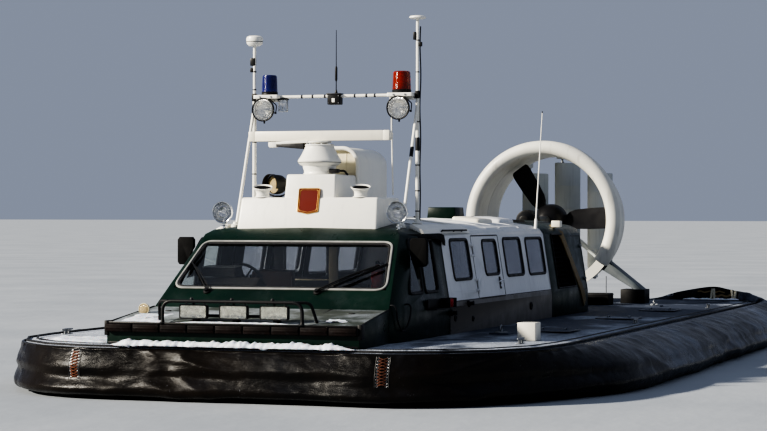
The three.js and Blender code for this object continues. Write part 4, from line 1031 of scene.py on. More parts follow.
def make_lacing():
    """Seams of the bow's skirt, laced with cord through two rows of eyelets."""
    rows, apart = 10, 0.036

    def on_bow(x, z):
        return on_skirt("bow", Vector((x, -7, z)), AFT)

    for name, side in SIDES:
        piece = Piece(f"skirt_lacing_{name}")
        seam = side * 1.33
        eyes = []
        for k in range(rows):
            for half in (-apart, apart):
                spot, normal = on_bow(seam + half, 0.175 + 0.215 * k / (rows - 1))
                eyes.append((spot, normal))
                ring = ring_about(spot + normal * 0.001, normal, 0.0085, 10)
                piece.add(tube_along(ring, 2.2, 6, closed=True), "steel")
        for k in range(0, 2 * rows - 2, 2):
            for a, b in ((k, k + 3), (k + 1, k + 2)):
                (start, out), (end, out_too) = eyes[a], eyes[b]
                lift = (out + out_too).normalized() * 0.006
                lace = [start + lift * 0.3, (start + end) / 2 + lift * 1.7, end + lift * 0.3]
                piece.add(tube_along(smooth_path(lace, 4), 3.6, 6), "rust")
        for half in (-apart, apart):
            hits = [on_bow(seam + half * 1.5, 0.165 + 0.235 * k / 13) for k in range(14)]
            piece.add(tube_along([spot + normal * 0.0015 for spot, normal in hits], 3.0, 6), "rubber")
        piece.done(slot="black_trim")


def make_hull():
    piece = Piece("hull_tank")
    piece.add(copied("hull", 5), "deck")
    piece.done(replaces=["hull"], slot="hull_paint", crease=30)


# Bow

BOW_POINTS = [
    (1100, 50, 447.4), (1100, 50, 622), (1058, 884.6, 447.4), (1058, 884.6, 724), (1100, 500, 447.4),
    (1088, 500, 683),
]


def bow_top(x, d, lift=0.0):
    """A place on the bow locker's top, which rises aft."""
    return at(x, d, 622 + 102 * (d - 50) / 834.6 + lift)


def bow_latch(x, d):
    z = bow_top(x, d).z / MM
    foot = [(x + a, d + b, z + c) for b, c in ((-12, -3), (12, 1)) for a in (-30, 30)]
    head = [(x + a, d + b, z + c) for b, c in ((-9, 9), (9, 12)) for a in (-24, 24)]
    return hull_of(foot + head, 2)


def make_bow_locker():
    piece = Piece("bow_locker")
    piece.add(hull_of(mirrored(BOW_POINTS), 9, 3), "green")
    piece.finishes.append("green_top")
    for face in piece.bm.faces:
        if face.normal.z > 0.8:
            face.material_index = 1
    piece.done(replaces=["bow_box"], slot="green_paint")
    trim = Piece("bow_locker_trim")
    for x in (-560, 0, 560):
        ends = ((62, 622.5), (62, 627), (875, 722), (875, 727))
        trim.add(hull_of([(x + a, d, z) for d, z in ends for a in (-5, 5)], 1.5), "rubber")
    trim.add(block((-1096, 46, 616), (1096, 66, 632), 4), "black")
    trim.add(block((-1085, 46, 452), (1085, 54, 470), 2), "black")
    for side in (1, -1):
        trim.add(block((side * 1085, 40, 520), (side * 1118, 118, 640), 5), "black")
        edge = [bow_top(side * (1092 - 34 * t), 60 + 815 * t, 3) for t in (0, 0.25, 0.5, 0.75, 1)]
        trim.add(tube_along(edge, 7, 8), "black")
        for d in (250, 640):
            trim.add(bow_latch(side * 820, d), "black")
    trim.done(slot="black_trim")


def make_fender():
    fender = Piece("bow_fender_segments")
    half, count = 1095, 9
    width = 2 * half / count
    for i in range(count):
        left, right = -half + i * width, -half + (i + 1) * width
        fender.add(block((left + 2.5, 2, 550), (right - 2.5, 49, 616), 9, 3), "fender")
        fender.add(block((left + 12, -1, 574), (right - 12, 4, 592), 2), "fender")
    fender.add(block((-half, 12, 556), (half, 48, 610)), "rubber")
    fender.done(replaces=["bow_fender"], slot="black_trim")


LAMP_XS = (-352, 0, 352)
LAMP_Z = 721
# Rings of the bow lamps: half width, half height, station, corner radius
HOUSING = [(70, 28, 204, 14), (99, 44, 192, 16), (116, 55, 154, 16), (122.5, 59, 120, 16),
           (122.5, 59, 100, 16), (120, 57, 95, 15), (115, 52, 95, 13), (113, 50, 104, 13),
           (108, 46, 150, 12), (80, 34, 176, 10)]
LENS_BOX = [(112.5, 49.5, 101, 12), (112.5, 49.5, 97, 12), (106, 45, 94.5, 12), (60, 25, 92.5, 9),
            (12, 6, 92, 3)]


def box_ring(x, half, high, d, corner):
    return [at(x + a, d, LAMP_Z + b) for a, b in rounded_box((-half, -high), (half, high), corner)]


def make_bow_lamps():
    frames, faces, bowls = Piece("lamp_housings"), Piece("lamp_lenses"), Piece("lamp_reflectors")
    for x in LAMP_XS:
        frames.add(loft([box_ring(x, *size) for size in HOUSING]), "black")
        bowl = []
        for k in range(10):
            t = k / 9
            size = math.sqrt(1 - t) * 0.9 + 0.1
            bowl.append(box_ring(x, 111 * size, 48 * size, 106 + 40 * t, max(4, 13 * size)))
        bowls.add(loft(bowl), "mirrored")
        bowls.add(bar((x - 17, 124, LAMP_Z), (x + 17, 124, LAMP_Z), 7, 14, bevel=2), "chrome")
        faces.add(loft([box_ring(x, *size) for size in LENS_BOX]), "lamp_glass")
        for side in (1, -1):
            frames.add(bar((x + side * 80, 150, 774), (x + side * 80, 150, 790), 8, 10, bevel=2), "black")
        frames.add(block((x - 25, 142, 634), (x + 25, 206, 690), 5), "black")
    frames.add(block((-356, 190, 674), (356, 212, 698), 4), "black")
    frames.done(replaces=["bow_lamps"], slot="black_trim")
    bowls.done(slot="chrome")
    faces.done(slot="lamp_face")


def make_lamp_guard():
    guard = Piece("lamp_guard_tubes")
    outline = [(-608, 68, 626), (-608, 68, 806), (608, 68, 806), (608, 68, 626)]
    guard.add(tube(outline, 14, 14, bend=85), "black")
    for side in (1, -1):
        arm = [(side * 560, 68, 806), (side * 660, 120, 806), (side * 690, 190, 640)]
        guard.add(tube(arm, 12, 12, bend=70), "black")
        foot = [(0, 624), (34, 624), (34, 630), (18, 634), (14, 654), (0, 654)]
        guard.add(turned(foot, (side * 608, 68), steps=20), "black")
    for x in LAMP_XS:
        guard.add(bar((x, 68, 806), (x, 120, 786), 9, 10), "black")
        guard.add(turned([(0, 816), (15, 816), (17, 822), (10, 836), (0, 838)], (x, 72), steps=14), "rubber")
    guard.done(replaces=["lamp_guard"], slot="black_trim")


# Cab and cabin

def lined(piece_name, node, outside, bevel=0, body="root", slot=None):
    """A wall of the cabin: its outer faces in one finish and the faces that look inward lined dark."""
    piece = Piece(piece_name)
    piece.add(copied(node, bevel), outside)
    piece.finishes.append("lining")
    for face in piece.bm.faces:
        centre = face.calc_center_median()
        place, normal, _, _ = SKIN.find_nearest(centre)
        if face.normal.dot(normal) < -0.2 and (centre - place).length > 0.02:
            face.material_index = 1
    piece.done(body=body, replaces=[node], slot=slot)


def make_walls():
    lined("cab_body", "cab_front", "green", 5, slot="green_paint")
    lined("cabin_body", "cabin_shell", "cabin_white", slot="white_paint")
    for name, _ in SIDES:
        lined(f"door_leaf_{name}", f"door_{name}", "cabin_white", body=f"door_{name}", slot="white_paint")


# Corners of the side panes as station, height, and the CAD node that a pane stands for
PANES = {
    "cab_front": ([(1340, 838), (1745, 838), (1745, 1300), (1660, 1300)], None),
    "cab_rear": ([(1800, 838), (2180, 838), (2180, 1300), (1800, 1300)], None),
    "fore": ([(2692, 920), (3256, 920), (3256, 1291), (2692, 1291)], "cab_glass"),
    "mid": ([(4444, 916), (5078, 916), (5078, 1289), (4444, 1289)], "aft_glass"),
    "aft": ([(5270, 910), (5924, 910), (5924, 1285), (5270, 1285)], None),
    "door": ([(3714, 943), (4192, 943), (4192, 1277), (3714, 1277)], "door_glass"),
}
SEAL = [(9, -30), (9, 6), (5, 11), (-4, 13), (-13, 10), (-19, 0.4), (-19, -0.5), (-1, -1), (-1, -30)]


def make_side_windows():
    for name, side in SIDES:
        for pane, (corners, node) in PANES.items():
            body = f"door_{name}" if pane == "door" else "root"
            radius, finish = (55, "glass") if pane.startswith("cab") else (62, "cabin_glass")
            hits = [on_side(side, d, z) for d, z in rounded_outline(corners, radius, 6)][::side]
            path, normals = [place for place, _ in hits], [normal for _, normal in hits]
            seal = Piece(f"window_seal_{pane}_{name}")
            seal.add(sweep(path, normals, SEAL), "rubber")
            seal.done(body=body, slot="black_trim")
            glass = Piece(f"window_pane_{pane}_{name}")
            inner = [p - n * 0.004 for p, n in zip(path, normals)]
            normal = sum(normals, Vector()).normalized()
            glass.add(prism(inner, normal * -0.006), finish)
            glass.done(body=body, replaces=[f"{node}_{name}"] if node else (), slot="window_glass")


# Each wiper's foot, knee and blade ends, as x and the way up the slope
WIPERS = (((-640, 200), (-880, 537), (-905, 455), (-822, 800)),
          ((366, 205), (842, 528), (500, 262), (905, 548)))


def make_windshield():
    seal = Piece("windshield_seal")
    outer = [(-972, 238), (972, 238), (872, 848), (-872, 848)]
    inner = [(-950, 259), (950, 259), (854, 826), (-854, 826)]
    broad = [(-10, 0), (-10, 7), (-6, 11), (0, 12), (6, 11), (10, 7), (10, 0)]
    deep = [(-10, -8), (-10, 6), (0, 9), (10, 6), (10, -8)]
    beads = ((outer, 95, 0, broad, "seal_grey"), (inner, 78, -2, deep, "rubber"))
    for corners, radius, out, section, finish in beads:
        path = [on_rake(x, along, out) for x, along in rounded_outline(corners, radius, 8)]
        seal.add(sweep(path, [RAKE_NORMAL] * len(path), section), finish)
    seal.done(slot="black_trim")
    dress("windshield_glass", "shield")


def make_wipers():
    wipers = Piece("wipers")
    for foot, knee, low, high in WIPERS:
        wipers.add(boss(on_rake(*foot), RAKE_NORMAL, ((0, 34), (10, 32), (14, 20), (30, 17))), "black")
        start, end = on_rake(*foot, 24), on_rake(*knee, 26)
        for aside, lift, radius in ((0, 0.016, 6.5), (0.028, 0.014, 4.5)):
            shift = PORT * aside
            arm = [start + shift, start.lerp(end, 0.5) + RAKE_NORMAL * lift + shift, end]
            wipers.add(tube_along(smooth_path(arm, 6), radius, 8), "black")
        blade = [on_rake(*Vector(low).lerp(Vector(high), t), 13) for t in (0, 0.33, 0.66, 1)]
        wipers.add(tube_along(blade, 7, 6), "rubber")
        wipers.add(tube_along([p + RAKE_NORMAL * 0.012 for p in blade], 5, 6), "black")
        centre = blade[1].lerp(blade[2], 0.5)
        wipers.add(tube_along([centre + RAKE_NORMAL * 0.012, end], 5, 8), "black")
    wipers.done(slot="black_trim")


# Roof

FAIRING_TOP = 1662.4


def make_fairing():
    piece = Piece("fairing_shell")
    lower = [(657, 1718, 1340), (657, 1718, 1361), (642, 1800, 1662), (642, 2390, 1662), (657, 2390, 1340)]
    upper = [(242, 1806, 1600), (232, 1851, 1867), (232, 2380, 1867), (242, 2380, 1600)]
    piece.add(hull_of(mirrored(lower), 22, 4), "white")
    piece.add(hull_of(mirrored(upper), 18, 4), "white")
    piece.done(replaces=["roof_fairing"], slot="white_paint")


def make_front_plate():
    """A bare enamel plate with a gilt border and four screws, on the fairing's front."""
    plate = Piece("front_plate")

    def front(x, z, out):
        return at(x, 1718 + 82 * (z - 1361) / 301 - out, z)

    corners = [(-98, 1536), (-60, 1530), (0, 1518), (60, 1530), (98, 1536), (98, 1742), (-98, 1742)]
    ring = [front(x, z, 4) for x, z in rounded_outline(corners, 14, 3)]
    plate.add(prism(ring, AFT * 0.024), "plate")
    plate.add(tube_along([p + FORE * 0.001 for p in ring], 4.0, 8, closed=True), "gold")
    smaller = [(a * 0.86, 1634 + (b - 1634) * 0.88) for a, b in corners]
    inner = [front(x, z, 5) for x, z in rounded_outline(smaller, 12, 3)]
    plate.add(tube_along(inner, 1.8, 6, closed=True), "gold")
    for x, z in ((-74, 1556), (74, 1556), (-74, 1722), (74, 1722)):
        plate.add(bolt_head(front(x, z, 4), FORE, 4, 2, 10), "gold")
    plate.done(slot="white_paint")


def leant(bm, x, d):
    """Leans the upper part of a ventilator so that its mouth looks forward and to port."""
    for v in bm.verts:
        height = v.co.z / MM - 1700
        if height > 0:
            back = 0.945 * ((v.co.y - BOW_Y) / MM - d) - 0.326 * (v.co.x / MM - x)
            v.co.z += back * 0.27 * min(1.0, height / 56) * MM
    return bm


def make_ventilators():
    outer = [(0, FAIRING_TOP), (70, FAIRING_TOP), (70, 1668), (58, 1674), (56, 1700), (60, 1716), (72, 1732),
             (84, 1744), (88, 1752), (88, 1756)]
    inner = [(84, 1758), (79, 1753), (76, 1748), (60, 1735), (0, 1733)]
    mouth = [(0, 1734), (59, 1736), (75.5, 1749), (74, 1750), (0, 1748)]
    for name, side in SIDES:
        cowl = Piece(f"ventilator_{name}")
        x, d = side * 462, 1858
        cowl.add(leant(turned(outer + inner, (x, d)), x, d), "white")
        # The mouth holds a near-black plug: painted shade standing for the dark inside of the ventilator.
        cowl.add(leant(turned(mouth, (x, d)), x, d), "mesh")
        for z in (1684, 1708):
            ring = [(56, z - 3), (60, z - 2), (60, z + 2), (56, z + 3), (56, z - 3)]
            cowl.add(turned(ring, (x, d)), "white")
        cowl.done(replaces=[f"vent_cowl_{name}"], slot="white_paint")


RADAR_D, SCANNER_Z = 2065, 2212


def make_radar_stand():
    stand = Piece("radar_gearbox")
    profile = [(0, 1867.4), (140, 1867.4), (144, 1874), (138, 1886), (138, 1900), (147, 1922), (150, 1944),
               (178, 1958), (192, 1974), (194, 1990), (186, 2006), (172, 2026), (156, 2056), (138, 2092),
               (128, 2118), (132, 2124), (132, 2132), (124, 2137), (60, 2138), (58, 2142), (0, 2142)]
    stand.add(turned(profile, (0, RADAR_D), steps=64), "white")
    joint = [(0, 1973), (192, 1973), (195.5, 1976), (192, 1979), (0, 1979)]
    stand.add(turned(joint, (0, RADAR_D), steps=64), "rubber")
    for a in range(45, 360, 90):
        x, d = 122 * math.cos(rad(a)), RADAR_D + 122 * math.sin(rad(a))
        stand.add(bar((x, d, 1867.4), (x, d, 1890), 11, 12, bevel=2), "steel")
    stand.add(block((128, 1960, 1880), (206, 2030, 1916), 6), "black")
    stand.add(tube([(150, 2100, 1900), (214, 2120, 1902), (222, 2180, 1868)], 9, 10, bend=20), "black")
    for a in range(0, 360, 30):
        x, d = 112 * math.cos(rad(a)), RADAR_D + 112 * math.sin(rad(a))
        stand.add(bolt_head(at(x, d, 2137), UP, 6, 4), "steel")
    stand.done(replaces=["radar_pedestal"], slot="white_paint")


def make_scanner():
    scanner = Piece("radar_bar")
    outline = [(-42, -43), (-42, 43), (-30, 45), (20, 43), (48, 36), (62, 24), (62, -24), (48, -36),
               (20, -43), (-30, -45)]
    end = [(670, 0.86), (666, 0.96), (658, 1.0), (612, 1.0), (611, 0.965), (604, 0.965), (603, 1.0)]
    stations = [(-x, size) for x, size in end] + end[::-1]
    rings = [[at(x, RADAR_D + a * size, SCANNER_Z + b * size) for a, b in outline] for x, size in stations]
    scanner.add(round_edges(loft(rings), 3, 2, 40), "cream")
    neck = [(0, 2142.4), (66, 2142.4), (100, 2150), (106, 2156), (106, 2162), (98, 2166), (0, 2170)]
    scanner.add(turned(neck, (0, RADAR_D), steps=48), "white")

    def tapered(ends, top, bevel, finish):
        """A part of the arm from (x, half width, underside) at its ends to one height."""
        corners = [(x, RADAR_D + s * half, z) for x, half, low in ends for s in (-1, 1) for z in (low, top)]
        scanner.add(hull_of(corners, bevel), finish)

    tapered(((-480, 24, 2140), (-90, 62, 2150)), 2169, 3, "white")
    tapered(((-484, 26, 2128), (-470, 30, 2112), (-405, 32, 2116)), 2166, 4, "white")
    tapered(((-406, 30, 2118), (-136, 56, 2094)), 2150, 3, "rubber")
    scanner.done(body="radar", replaces=["radar_scanner"], slot="cream_paint")


def make_scoop():
    piece = Piece("scoop_hood")
    piece.add(copied("intake_scoop", 4, 2, 24), "white")
    piece.done(replaces=["intake_scoop"], slot="white_paint", crease=40)
    rim = Piece("scoop_rim")
    half, top, corner = 240, 2112, 146
    arch = []
    for i in range(13):
        a = math.pi / 2 * i / 12
        arch.append((half - corner + corner * math.cos(a), top - corner + corner * math.sin(a)))
    arch += [(-x, z) for x, z in arch[::-1]]
    path = [at(x, 2398, z) for x, z in [(half, 1700)] + arch + [(-half, 1700)]]
    rim.add(tube_along(path, 19, 14), "white")
    back = [at(x * 0.96, 2428, z - 8) for x, z in arch]
    back += [at(x, 2428, 1560) for x in (-half * 0.96, half * 0.96)]
    rim.add(prism(back, AFT * 0.014), "panel")
    for x in (-120, 120):
        rim.add(block((x - 3, 2424, 1600), (x + 3, 2430, 2080), 1.5), "panel")
    rim.add(block((-222, 2425, 1880), (222, 2430, 1888), 1.5), "panel")
    rim.done(slot="white_paint")


def make_roof_lights():
    bowl = [(0, 85), (30, 84), (56, 74), (80, 46), (93, 10), (97, -4), (99, -16), (95, -22), (89, -20),
            (87, -10), (80, 16), (66, 42), (36, 64), (0, 70)]
    bulb = [(0, 18), (12, 20), (14, 34), (10, 66), (0, 68)]
    front = [(0, -24), (50, -21), (84, -15), (87, -12), (84, -10), (50, -17), (0, -20)]
    for name, side in SIDES:
        x, d, z = side * 821, 1800, 1532
        lamp = Piece(f"roof_lamp_{name}")
        lamp.add(facing(bowl, x, d, z, 48), "chrome")
        lamp.add(facing(bulb, x, d, z, 20), "mirrored")
        lamp.add(bar((x, d + 35, 1350), (x, d + 35, z - 60), 13, 16), "chrome")
        foot = [(0, 1404), (30, 1404), (30, 1410), (18, 1418), (0, 1420)]
        lamp.add(turned(foot, (x, d + 35), steps=20), "chrome")
        lamp.add(block((x - 22, d + 22, z - 104), (x + 22, d + 50, z - 78), 4), "chrome")
        lamp.done(replaces=[f"roof_light_{name}"], slot="chrome")
        face = Piece(f"roof_lamp_lens_{name}")
        face.add(facing(front, x, d, z, 40), "clear_lens")
        face.done(slot="lamp_face")


# Mast

MAST_X, MAST_D, BEAM_Z, STAY_D = 788, 2455, 2588, 2012
MAST_TOPS = {"port": 3265, "starboard": 3060}
LAMP_X = 649


def roof_foot(x, d, rows):
    """A turned foot on the roof, from (radius, height over the roof) rows."""
    base = on_roof(x, d)[0].z / MM + 15
    return turned([(r, base + h) for r, h in rows], (x, d), steps=24)


def make_mast():
    mast = Piece("light_mast_tubes")
    for name, side in SIDES:
        x = side * MAST_X
        mast.add(bar((x, MAST_D, 1375), (x, MAST_D, BEAM_Z), 18, 24), "white")
        mast.add(bar((x, MAST_D, BEAM_Z - 10), (x, MAST_D, MAST_TOPS[name]), 14, 20), "white")
        mast.add(bar((x, STAY_D, 1352), (x, MAST_D, 2510), 14, 20), "white")
        mast.add(roof_foot(x, MAST_D, ((0, -20), (46, -20), (46, 4), (30, 12), (22, 34), (0, 34))), "white")
        mast.add(roof_foot(x, STAY_D, ((0, -20), (40, -20), (40, 4), (26, 10), (18, 30), (0, 30))), "white")
        outline = rounded_box((-123, -90), (123, 90), 22, 4)
        shelf = [at(side * 645 + a, MAST_D + b, BEAM_Z - 17) for a, b in outline]
        mast.add(round_edges(prism(shelf, UP * 0.034), 4, 2, 50), "white")
        low, high = (side * 530, MAST_D - 26, BEAM_Z - 44), (side * 760, MAST_D + 26, BEAM_Z - 17)
        mast.add(block(low, high, 4), "white")
    mast.add(bar((-800, MAST_D, BEAM_Z), (800, MAST_D, BEAM_Z), 14, 24), "white")
    mast.done(replaces=["light_mast"], slot="white_paint")


# Ties and sleeves of tape: the tube's ends and radius, shares of its length, half length of the tape
TIES = (
    ((-800, MAST_D, BEAM_Z), (800, MAST_D, BEAM_Z), 14, (0.30, 0.365, 0.44, 0.62, 0.69, 0.74), 9),
    ((MAST_X, MAST_D, 1375), (MAST_X, MAST_D, BEAM_Z), 18, (0.14, 0.29, 0.48, 0.80), 5),
    ((MAST_X, MAST_D, 1375), (MAST_X, MAST_D, BEAM_Z), 18, (0.635,), 60),
    ((-MAST_X, MAST_D, 1375), (-MAST_X, MAST_D, BEAM_Z), 18, (0.2, 0.42, 0.66, 0.85), 5),
    ((MAST_X, STAY_D, 1352), (MAST_X, MAST_D, 2510), 14, (0.62,), 48),
    ((MAST_X, MAST_D, BEAM_Z), (MAST_X, MAST_D, 3265), 14, (0.3, 0.72), 5),
    ((-MAST_X, MAST_D, BEAM_Z), (-MAST_X, MAST_D, 3060), 14, (0.15, 0.5), 6),
)


def make_mast_fittings():
    wires = Piece("mast_fittings")
    x, d = MAST_X, MAST_D
    for a, b, radius, shares, half in TIES:
        start, end = at(*a), at(*b)
        axis = (end - start).normalized()
        for share in shares:
            centre = start.lerp(end, share)
            rings = [ring_about(centre + axis * (k * half * MM), axis, (radius + grow) * MM, 14)
                     for k, grow in ((-1, 0.5), (-0.8, 2.5), (0.8, 2.5), (1, 0.5))]
            wires.add(loft(rings), "tape")
    cable = []
    for z in range(1400, 3240, 40):
        cable.append(at(x + 22 + 3 * math.sin(z * 0.012), d + 12 + 4 * math.cos(z * 0.009), z))
    wires.add(tube_along(cable, 6, 8), "tape")
    for side, z in ((-1, 2880), (1, 3080)):
        wires.add(block((side * x - 38, d - 20, z), (side * (x - 10), d + 22, z + 70), 5), "black")
        wires.add(block((side * (x + 12), d - 16, z - 60), (side * (x + 40), d + 18, z - 20), 5), "black")
    for side in (1, -1):
        wires.add(block((side * 770, d - 30, BEAM_Z - 34), (side * 806, d + 30, BEAM_Z + 34), 6), "black")
        for bolt_x in (side * 700, side * 590):
            wires.add(bar((bolt_x, d - 96, BEAM_Z), (bolt_x, d - 88, BEAM_Z), 9, 10), "steel")
    wires.add(tube([(540, d + 14, BEAM_Z), (540, d + 10, 2300), (552, 2470, 1690)], 7, 10), "white")
    wires.done(slot="black_trim")


def make_spotlights():
    shell = [(0, 2430), (48, 2428), (72, 2406), (94, 2366), (103, 2340), (108, 2330), (109, 2314),
             (105, 2309), (100, 2311), (99.5, 2326), (88, 2348), (60, 2368), (24, 2380), (0, 2382)]
    bowl = [(99, 2319), (97, 2327), (84, 2345), (56, 2363), (22, 2373), (0, 2375), (0, 2377), (22, 2375),
            (56, 2365), (85, 2347), (98.5, 2328), (99, 2319)]
    bezel = [(104, 2308.5), (108, 2311), (108, 2316), (102, 2318), (98, 2313), (104, 2308.5)]
    front = [(0, 2303), (40, 2305), (75, 2310), (97, 2316), (97, 2320), (75, 2314), (40, 2309), (0, 2307)]
    bulb = [(0, 2340), (10, 2341), (14, 2352), (13, 2373), (0, 2373)]
    for name, side in SIDES:
        x, z = side * LAMP_X, 2468
        lamp = Piece(f"spotlight_body_{name}")
        lamp.add(facing(shell, x, 0, z, 56), "black")
        lamp.add(facing(bowl, x, 0, z, 48), "mirrored")
        lamp.add(facing(bezel, x, 0, z, 56), "black")
        for s in (-1, 1):
            yoke = [(x + s * 108, 2362, z - 30), (x + s * 112, 2370, z + 40), (x + s * 40, 2380, z + 100)]
            lamp.add(tube(yoke, 5, 8, bend=30), "black")
            lamp.add(bar((x + s * 96, 2362, z - 30), (x + s * 114, 2362, z - 30), 9, 12, bevel=2), "black")
        lamp.add(block((x - 18, 2366, z + 60), (x + 18, 2394, 2569), 4), "black")
        lamp.add(block((x - 18, 2368, 2556), (x + 18, MAST_D, 2569), 3), "black")
        lamp.add(bar((x, 2352, z - 96), (x, 2352, z - 126), 8, 12, bevel=2), "black")
        lamp.done(replaces=[f"spotlight_{name}"], slot="chrome")
        face = Piece(f"spotlight_lens_{name}")
        face.add(facing(front, x, 0, z, 56), "spot_glass")
        face.add(facing(bulb, x, 0, z, 20), "mirrored")
        face.done(slot="lamp_face")


def make_beacons():
    base = [(0, 0), (1.04, 0), (1.05, 5), (1.02, 9), (1.02, 22), (1.04, 26), (0.98, 30), (0, 30)]
    lamp = [(0, 30), (20, 30), (20, 60), (34, 66), (34, 120), (14, 124), (0, 124)]
    z = 2606.4
    lamps = (("port", 638, 84, 197, "red"), ("starboard", -638, 72, 184, "blue"))
    for name, x, radius, height, tint in lamps:
        foot = Piece(f"beacon_base_{name}")
        foot.add(turned([(radius * r, z + h) for r, h in base], (x, MAST_D), steps=48), "black")
        foot.add(turned([(r, z + h) for r, h in lamp], (x, MAST_D), steps=24), "mirrored")
        foot.done(slot="black_trim")
        shell = Piece(f"beacon_dome_{name}")
        outer = [(1, 28), (0.985, 60), (0.955, 120), (0.93, height - 26), (0.9, height - 12),
                 (0.8, height - 3), (0.5, height), (0, height)]
        outer = [(radius * r, z + h) for r, h in outer]
        inner = [(max(0, r - 5), h - (4 if r < radius * 0.9 else 0)) for r, h in outer][::-1]
        shell.add(turned(outer + inner, (x, MAST_D), steps=56), tint)
        shell.done(replaces=[f"beacon_{name}"], slot=f"{tint}_lens")


def make_antennas():
    drum = Piece("antenna_drum_body")
    shape = [(0, 3060.4), (50, 3060.4), (54, 3064), (70, 3078), (76, 3096), (77, 3126), (72, 3142),
             (58, 3152), (0, 3158)]
    joint = [(0, 3096), (77, 3096), (77.5, 3099), (77, 3102), (0, 3102)]
    drum.add(turned(shape, (-MAST_X, MAST_D)), "white")
    drum.add(turned(joint, (-MAST_X, MAST_D)), "rubber")
    drum.done(replaces=["antenna_drum"], slot="white_paint")
    disc = Piece("antenna_disc_body")
    shape = [(0, 3265.4), (30, 3265.4), (62, 3267), (76, 3275), (76, 3279), (70, 3290), (44, 3296), (0, 3297)]
    disc.add(turned(shape, (MAST_X, MAST_D)), "white")
    disc.done(replaces=["antenna_disc"], slot="white_paint")


def make_antenna_box():
    box = Piece("antenna_box")
    box.add(block((-60, 2410, 2510), (60, 2500, 2610), 8, 3), "black")
    box.add(block((-68, 2404, 2598), (68, 2506, 2612), 4), "rubber")
    box.add(block((-14, 2407, 2530), (14, 2411, 2566), 1.5), "white")
    box.add(bar((0, 2485, 2598), (0, 2485, 3190), 5, 10, 3), "black")
    coil = [at(0, 2485, z) for z in (2722, 2730, 2740, 2845, 2855, 2863)]
    box.add(tube_along(coil, [5, 8, 11, 11, 8, 5], 14), "black")
    collar = [at(0, 2485, z) for z in (2610, 2614, 2640, 2650)]
    box.add(tube_along(collar, [14, 14, 9, 5], 14), "black")
    for x in (-48, 48):
        for z in (2524, 2588):
            box.add(bolt_head(at(x, 2410, z), FORE, 5, 3, 8), "steel")
    box.done(replaces=["antenna_centre"], slot="black_trim")


def make_whip():
    whip = Piece("whip_aerial")
    foot = [at(950, 5930, 1345), at(951, 5934, 1390), at(953, 5940, 1470), at(953.4, 5942, 1486)]
    rod = [at(953 + 32 * t, 5940 + 130 * t, 1480 + 1127 * t) for t in (0, 0.3, 0.34, 0.6, 0.64, 1)]
    whip.add(tube_along(foot, [24, 17, 15, 8], 14), "white")
    whip.add(tube_along(rod, [8, 7.4, 6.6, 6.2, 5.4, 4], 12), "white")
    whip.add(tube_along([at(984, 6068, 2590), at(985, 6070, 2607)], [6, 5], 12), "rubber")
    whip.done(replaces=["whip_antenna"], slot="white_paint")


# Duct, propeller and rudders

SHAFT_Z = 1462
LIP_ARC = (-35, 215)
STOCK_D = 10790
# Each rudder's CAD node, x, half height, and the height of its bearings over the shaft
RUDDERS = (("rudder_1", -423, 600, 665), ("rudder_2", 0, 730, 775), ("rudder_3", 423, 600, 665))


def about_shaft(profile, steps, arc=None):
    """A round body about the propeller's shaft, from (radius, station) pairs."""
    return turned(profile, (0, SHAFT_Z), "Y", steps, arc)


def make_duct_lip():
    lip = Piece("duct_mouth_lip")
    section = [(905, 10079.6), (944, 10010), (967, 9930), (975, 9870)]
    middle, nose, radius = 887, 9808, 88
    for i in range(19):
        a = math.pi * i / 18
        section.append((middle + radius * math.cos(a), nose - radius * math.sin(a)))
    section += [(794, 9870), (788, 9930), (786, 10000), (785, 10079.6), section[0]]
    lip.add(round_edges(about_shaft(section, 132, LIP_ARC), 10, 3, 60), "shell")
    lip.done(replaces=["duct_lip"], slot="cream_paint")


def make_duct_barrel():
    ring = Piece("duct_barrel")
    barrel = [(785, 10080), (903, 10080), (905, 10082), (884, 10170), (862, 10270), (850, 10450),
              (841, 10640), (838, 10650), (802, 10650), (800, 10640), (790, 10450), (785, 10250),
              (785, 10080)]
    hub = [(0, 10330), (100, 10330), (112, 10334), (120, 10344), (120, 10546), (112, 10556), (100, 10560),
           (60, 10566), (0, 10566)]
    ring.add(about_shaft(barrel, 132), "shell")
    ring.add(about_shaft(hub, 40), "grey")
    for angle in (-40, 220, 270):
        strut = block((100, 10345, -18), (790, 10545, 18), 15, 3)
        turn = Matrix.Translation(UP * SHAFT_Z * MM) @ Matrix.Rotation(-rad(angle), 4, "Y")
        ring.add(moved(strut, turn), "grey")
    for _, x, _, bearing in RUDDERS:
        for up in (1, -1):
            low, high = sorted((SHAFT_Z + up * bearing, SHAFT_Z + up * (bearing + 60)))
            cap = high if up > 0 else low - 14
            ring.add(block((x - 32, 10612, low), (x + 32, 10835, high), 8, 3), "grey")
            ring.add(bar((x, STOCK_D, cap), (x, STOCK_D, cap + 14), 20, 16, bevel=3), "steel")
    for k in range(24):
        a = 2 * math.pi * (k + 0.5) / 24
        normal = Vector((math.cos(a), 0, math.sin(a)))
        ring.add(bolt_head(at(0, 10104, SHAFT_Z) + normal * 0.899, normal, 8, 6), "steel")
    band = [(899, 10086), (903, 10088), (901, 10118), (896, 10120), (899, 10086)]
    ring.add(about_shaft(band, 132), "grey")
    ring.done(replaces=["duct_ring"], slot="grey_paint")


def make_duct_legs():
    for name, _ in SIDES:
        leg = Piece(f"duct_leg_strut_{name}")
        # The legs take the grey darkened into painted shade.
        leg.add(copied(f"duct_leg_{name}", 6), "leg_grey_painted_shade")
        leg.finishes.append("black")
        for face in leg.bm.faces:
            c = face.calc_center_median()
            if c.z < 0.6185 and abs(c.y - at(0, 10210, 0).y) < 0.16 and 0.915 < abs(c.x) < 1.225:
                face.material_index = 1
        leg.done(replaces=[f"duct_leg_{name}"], slot="grey_paint")


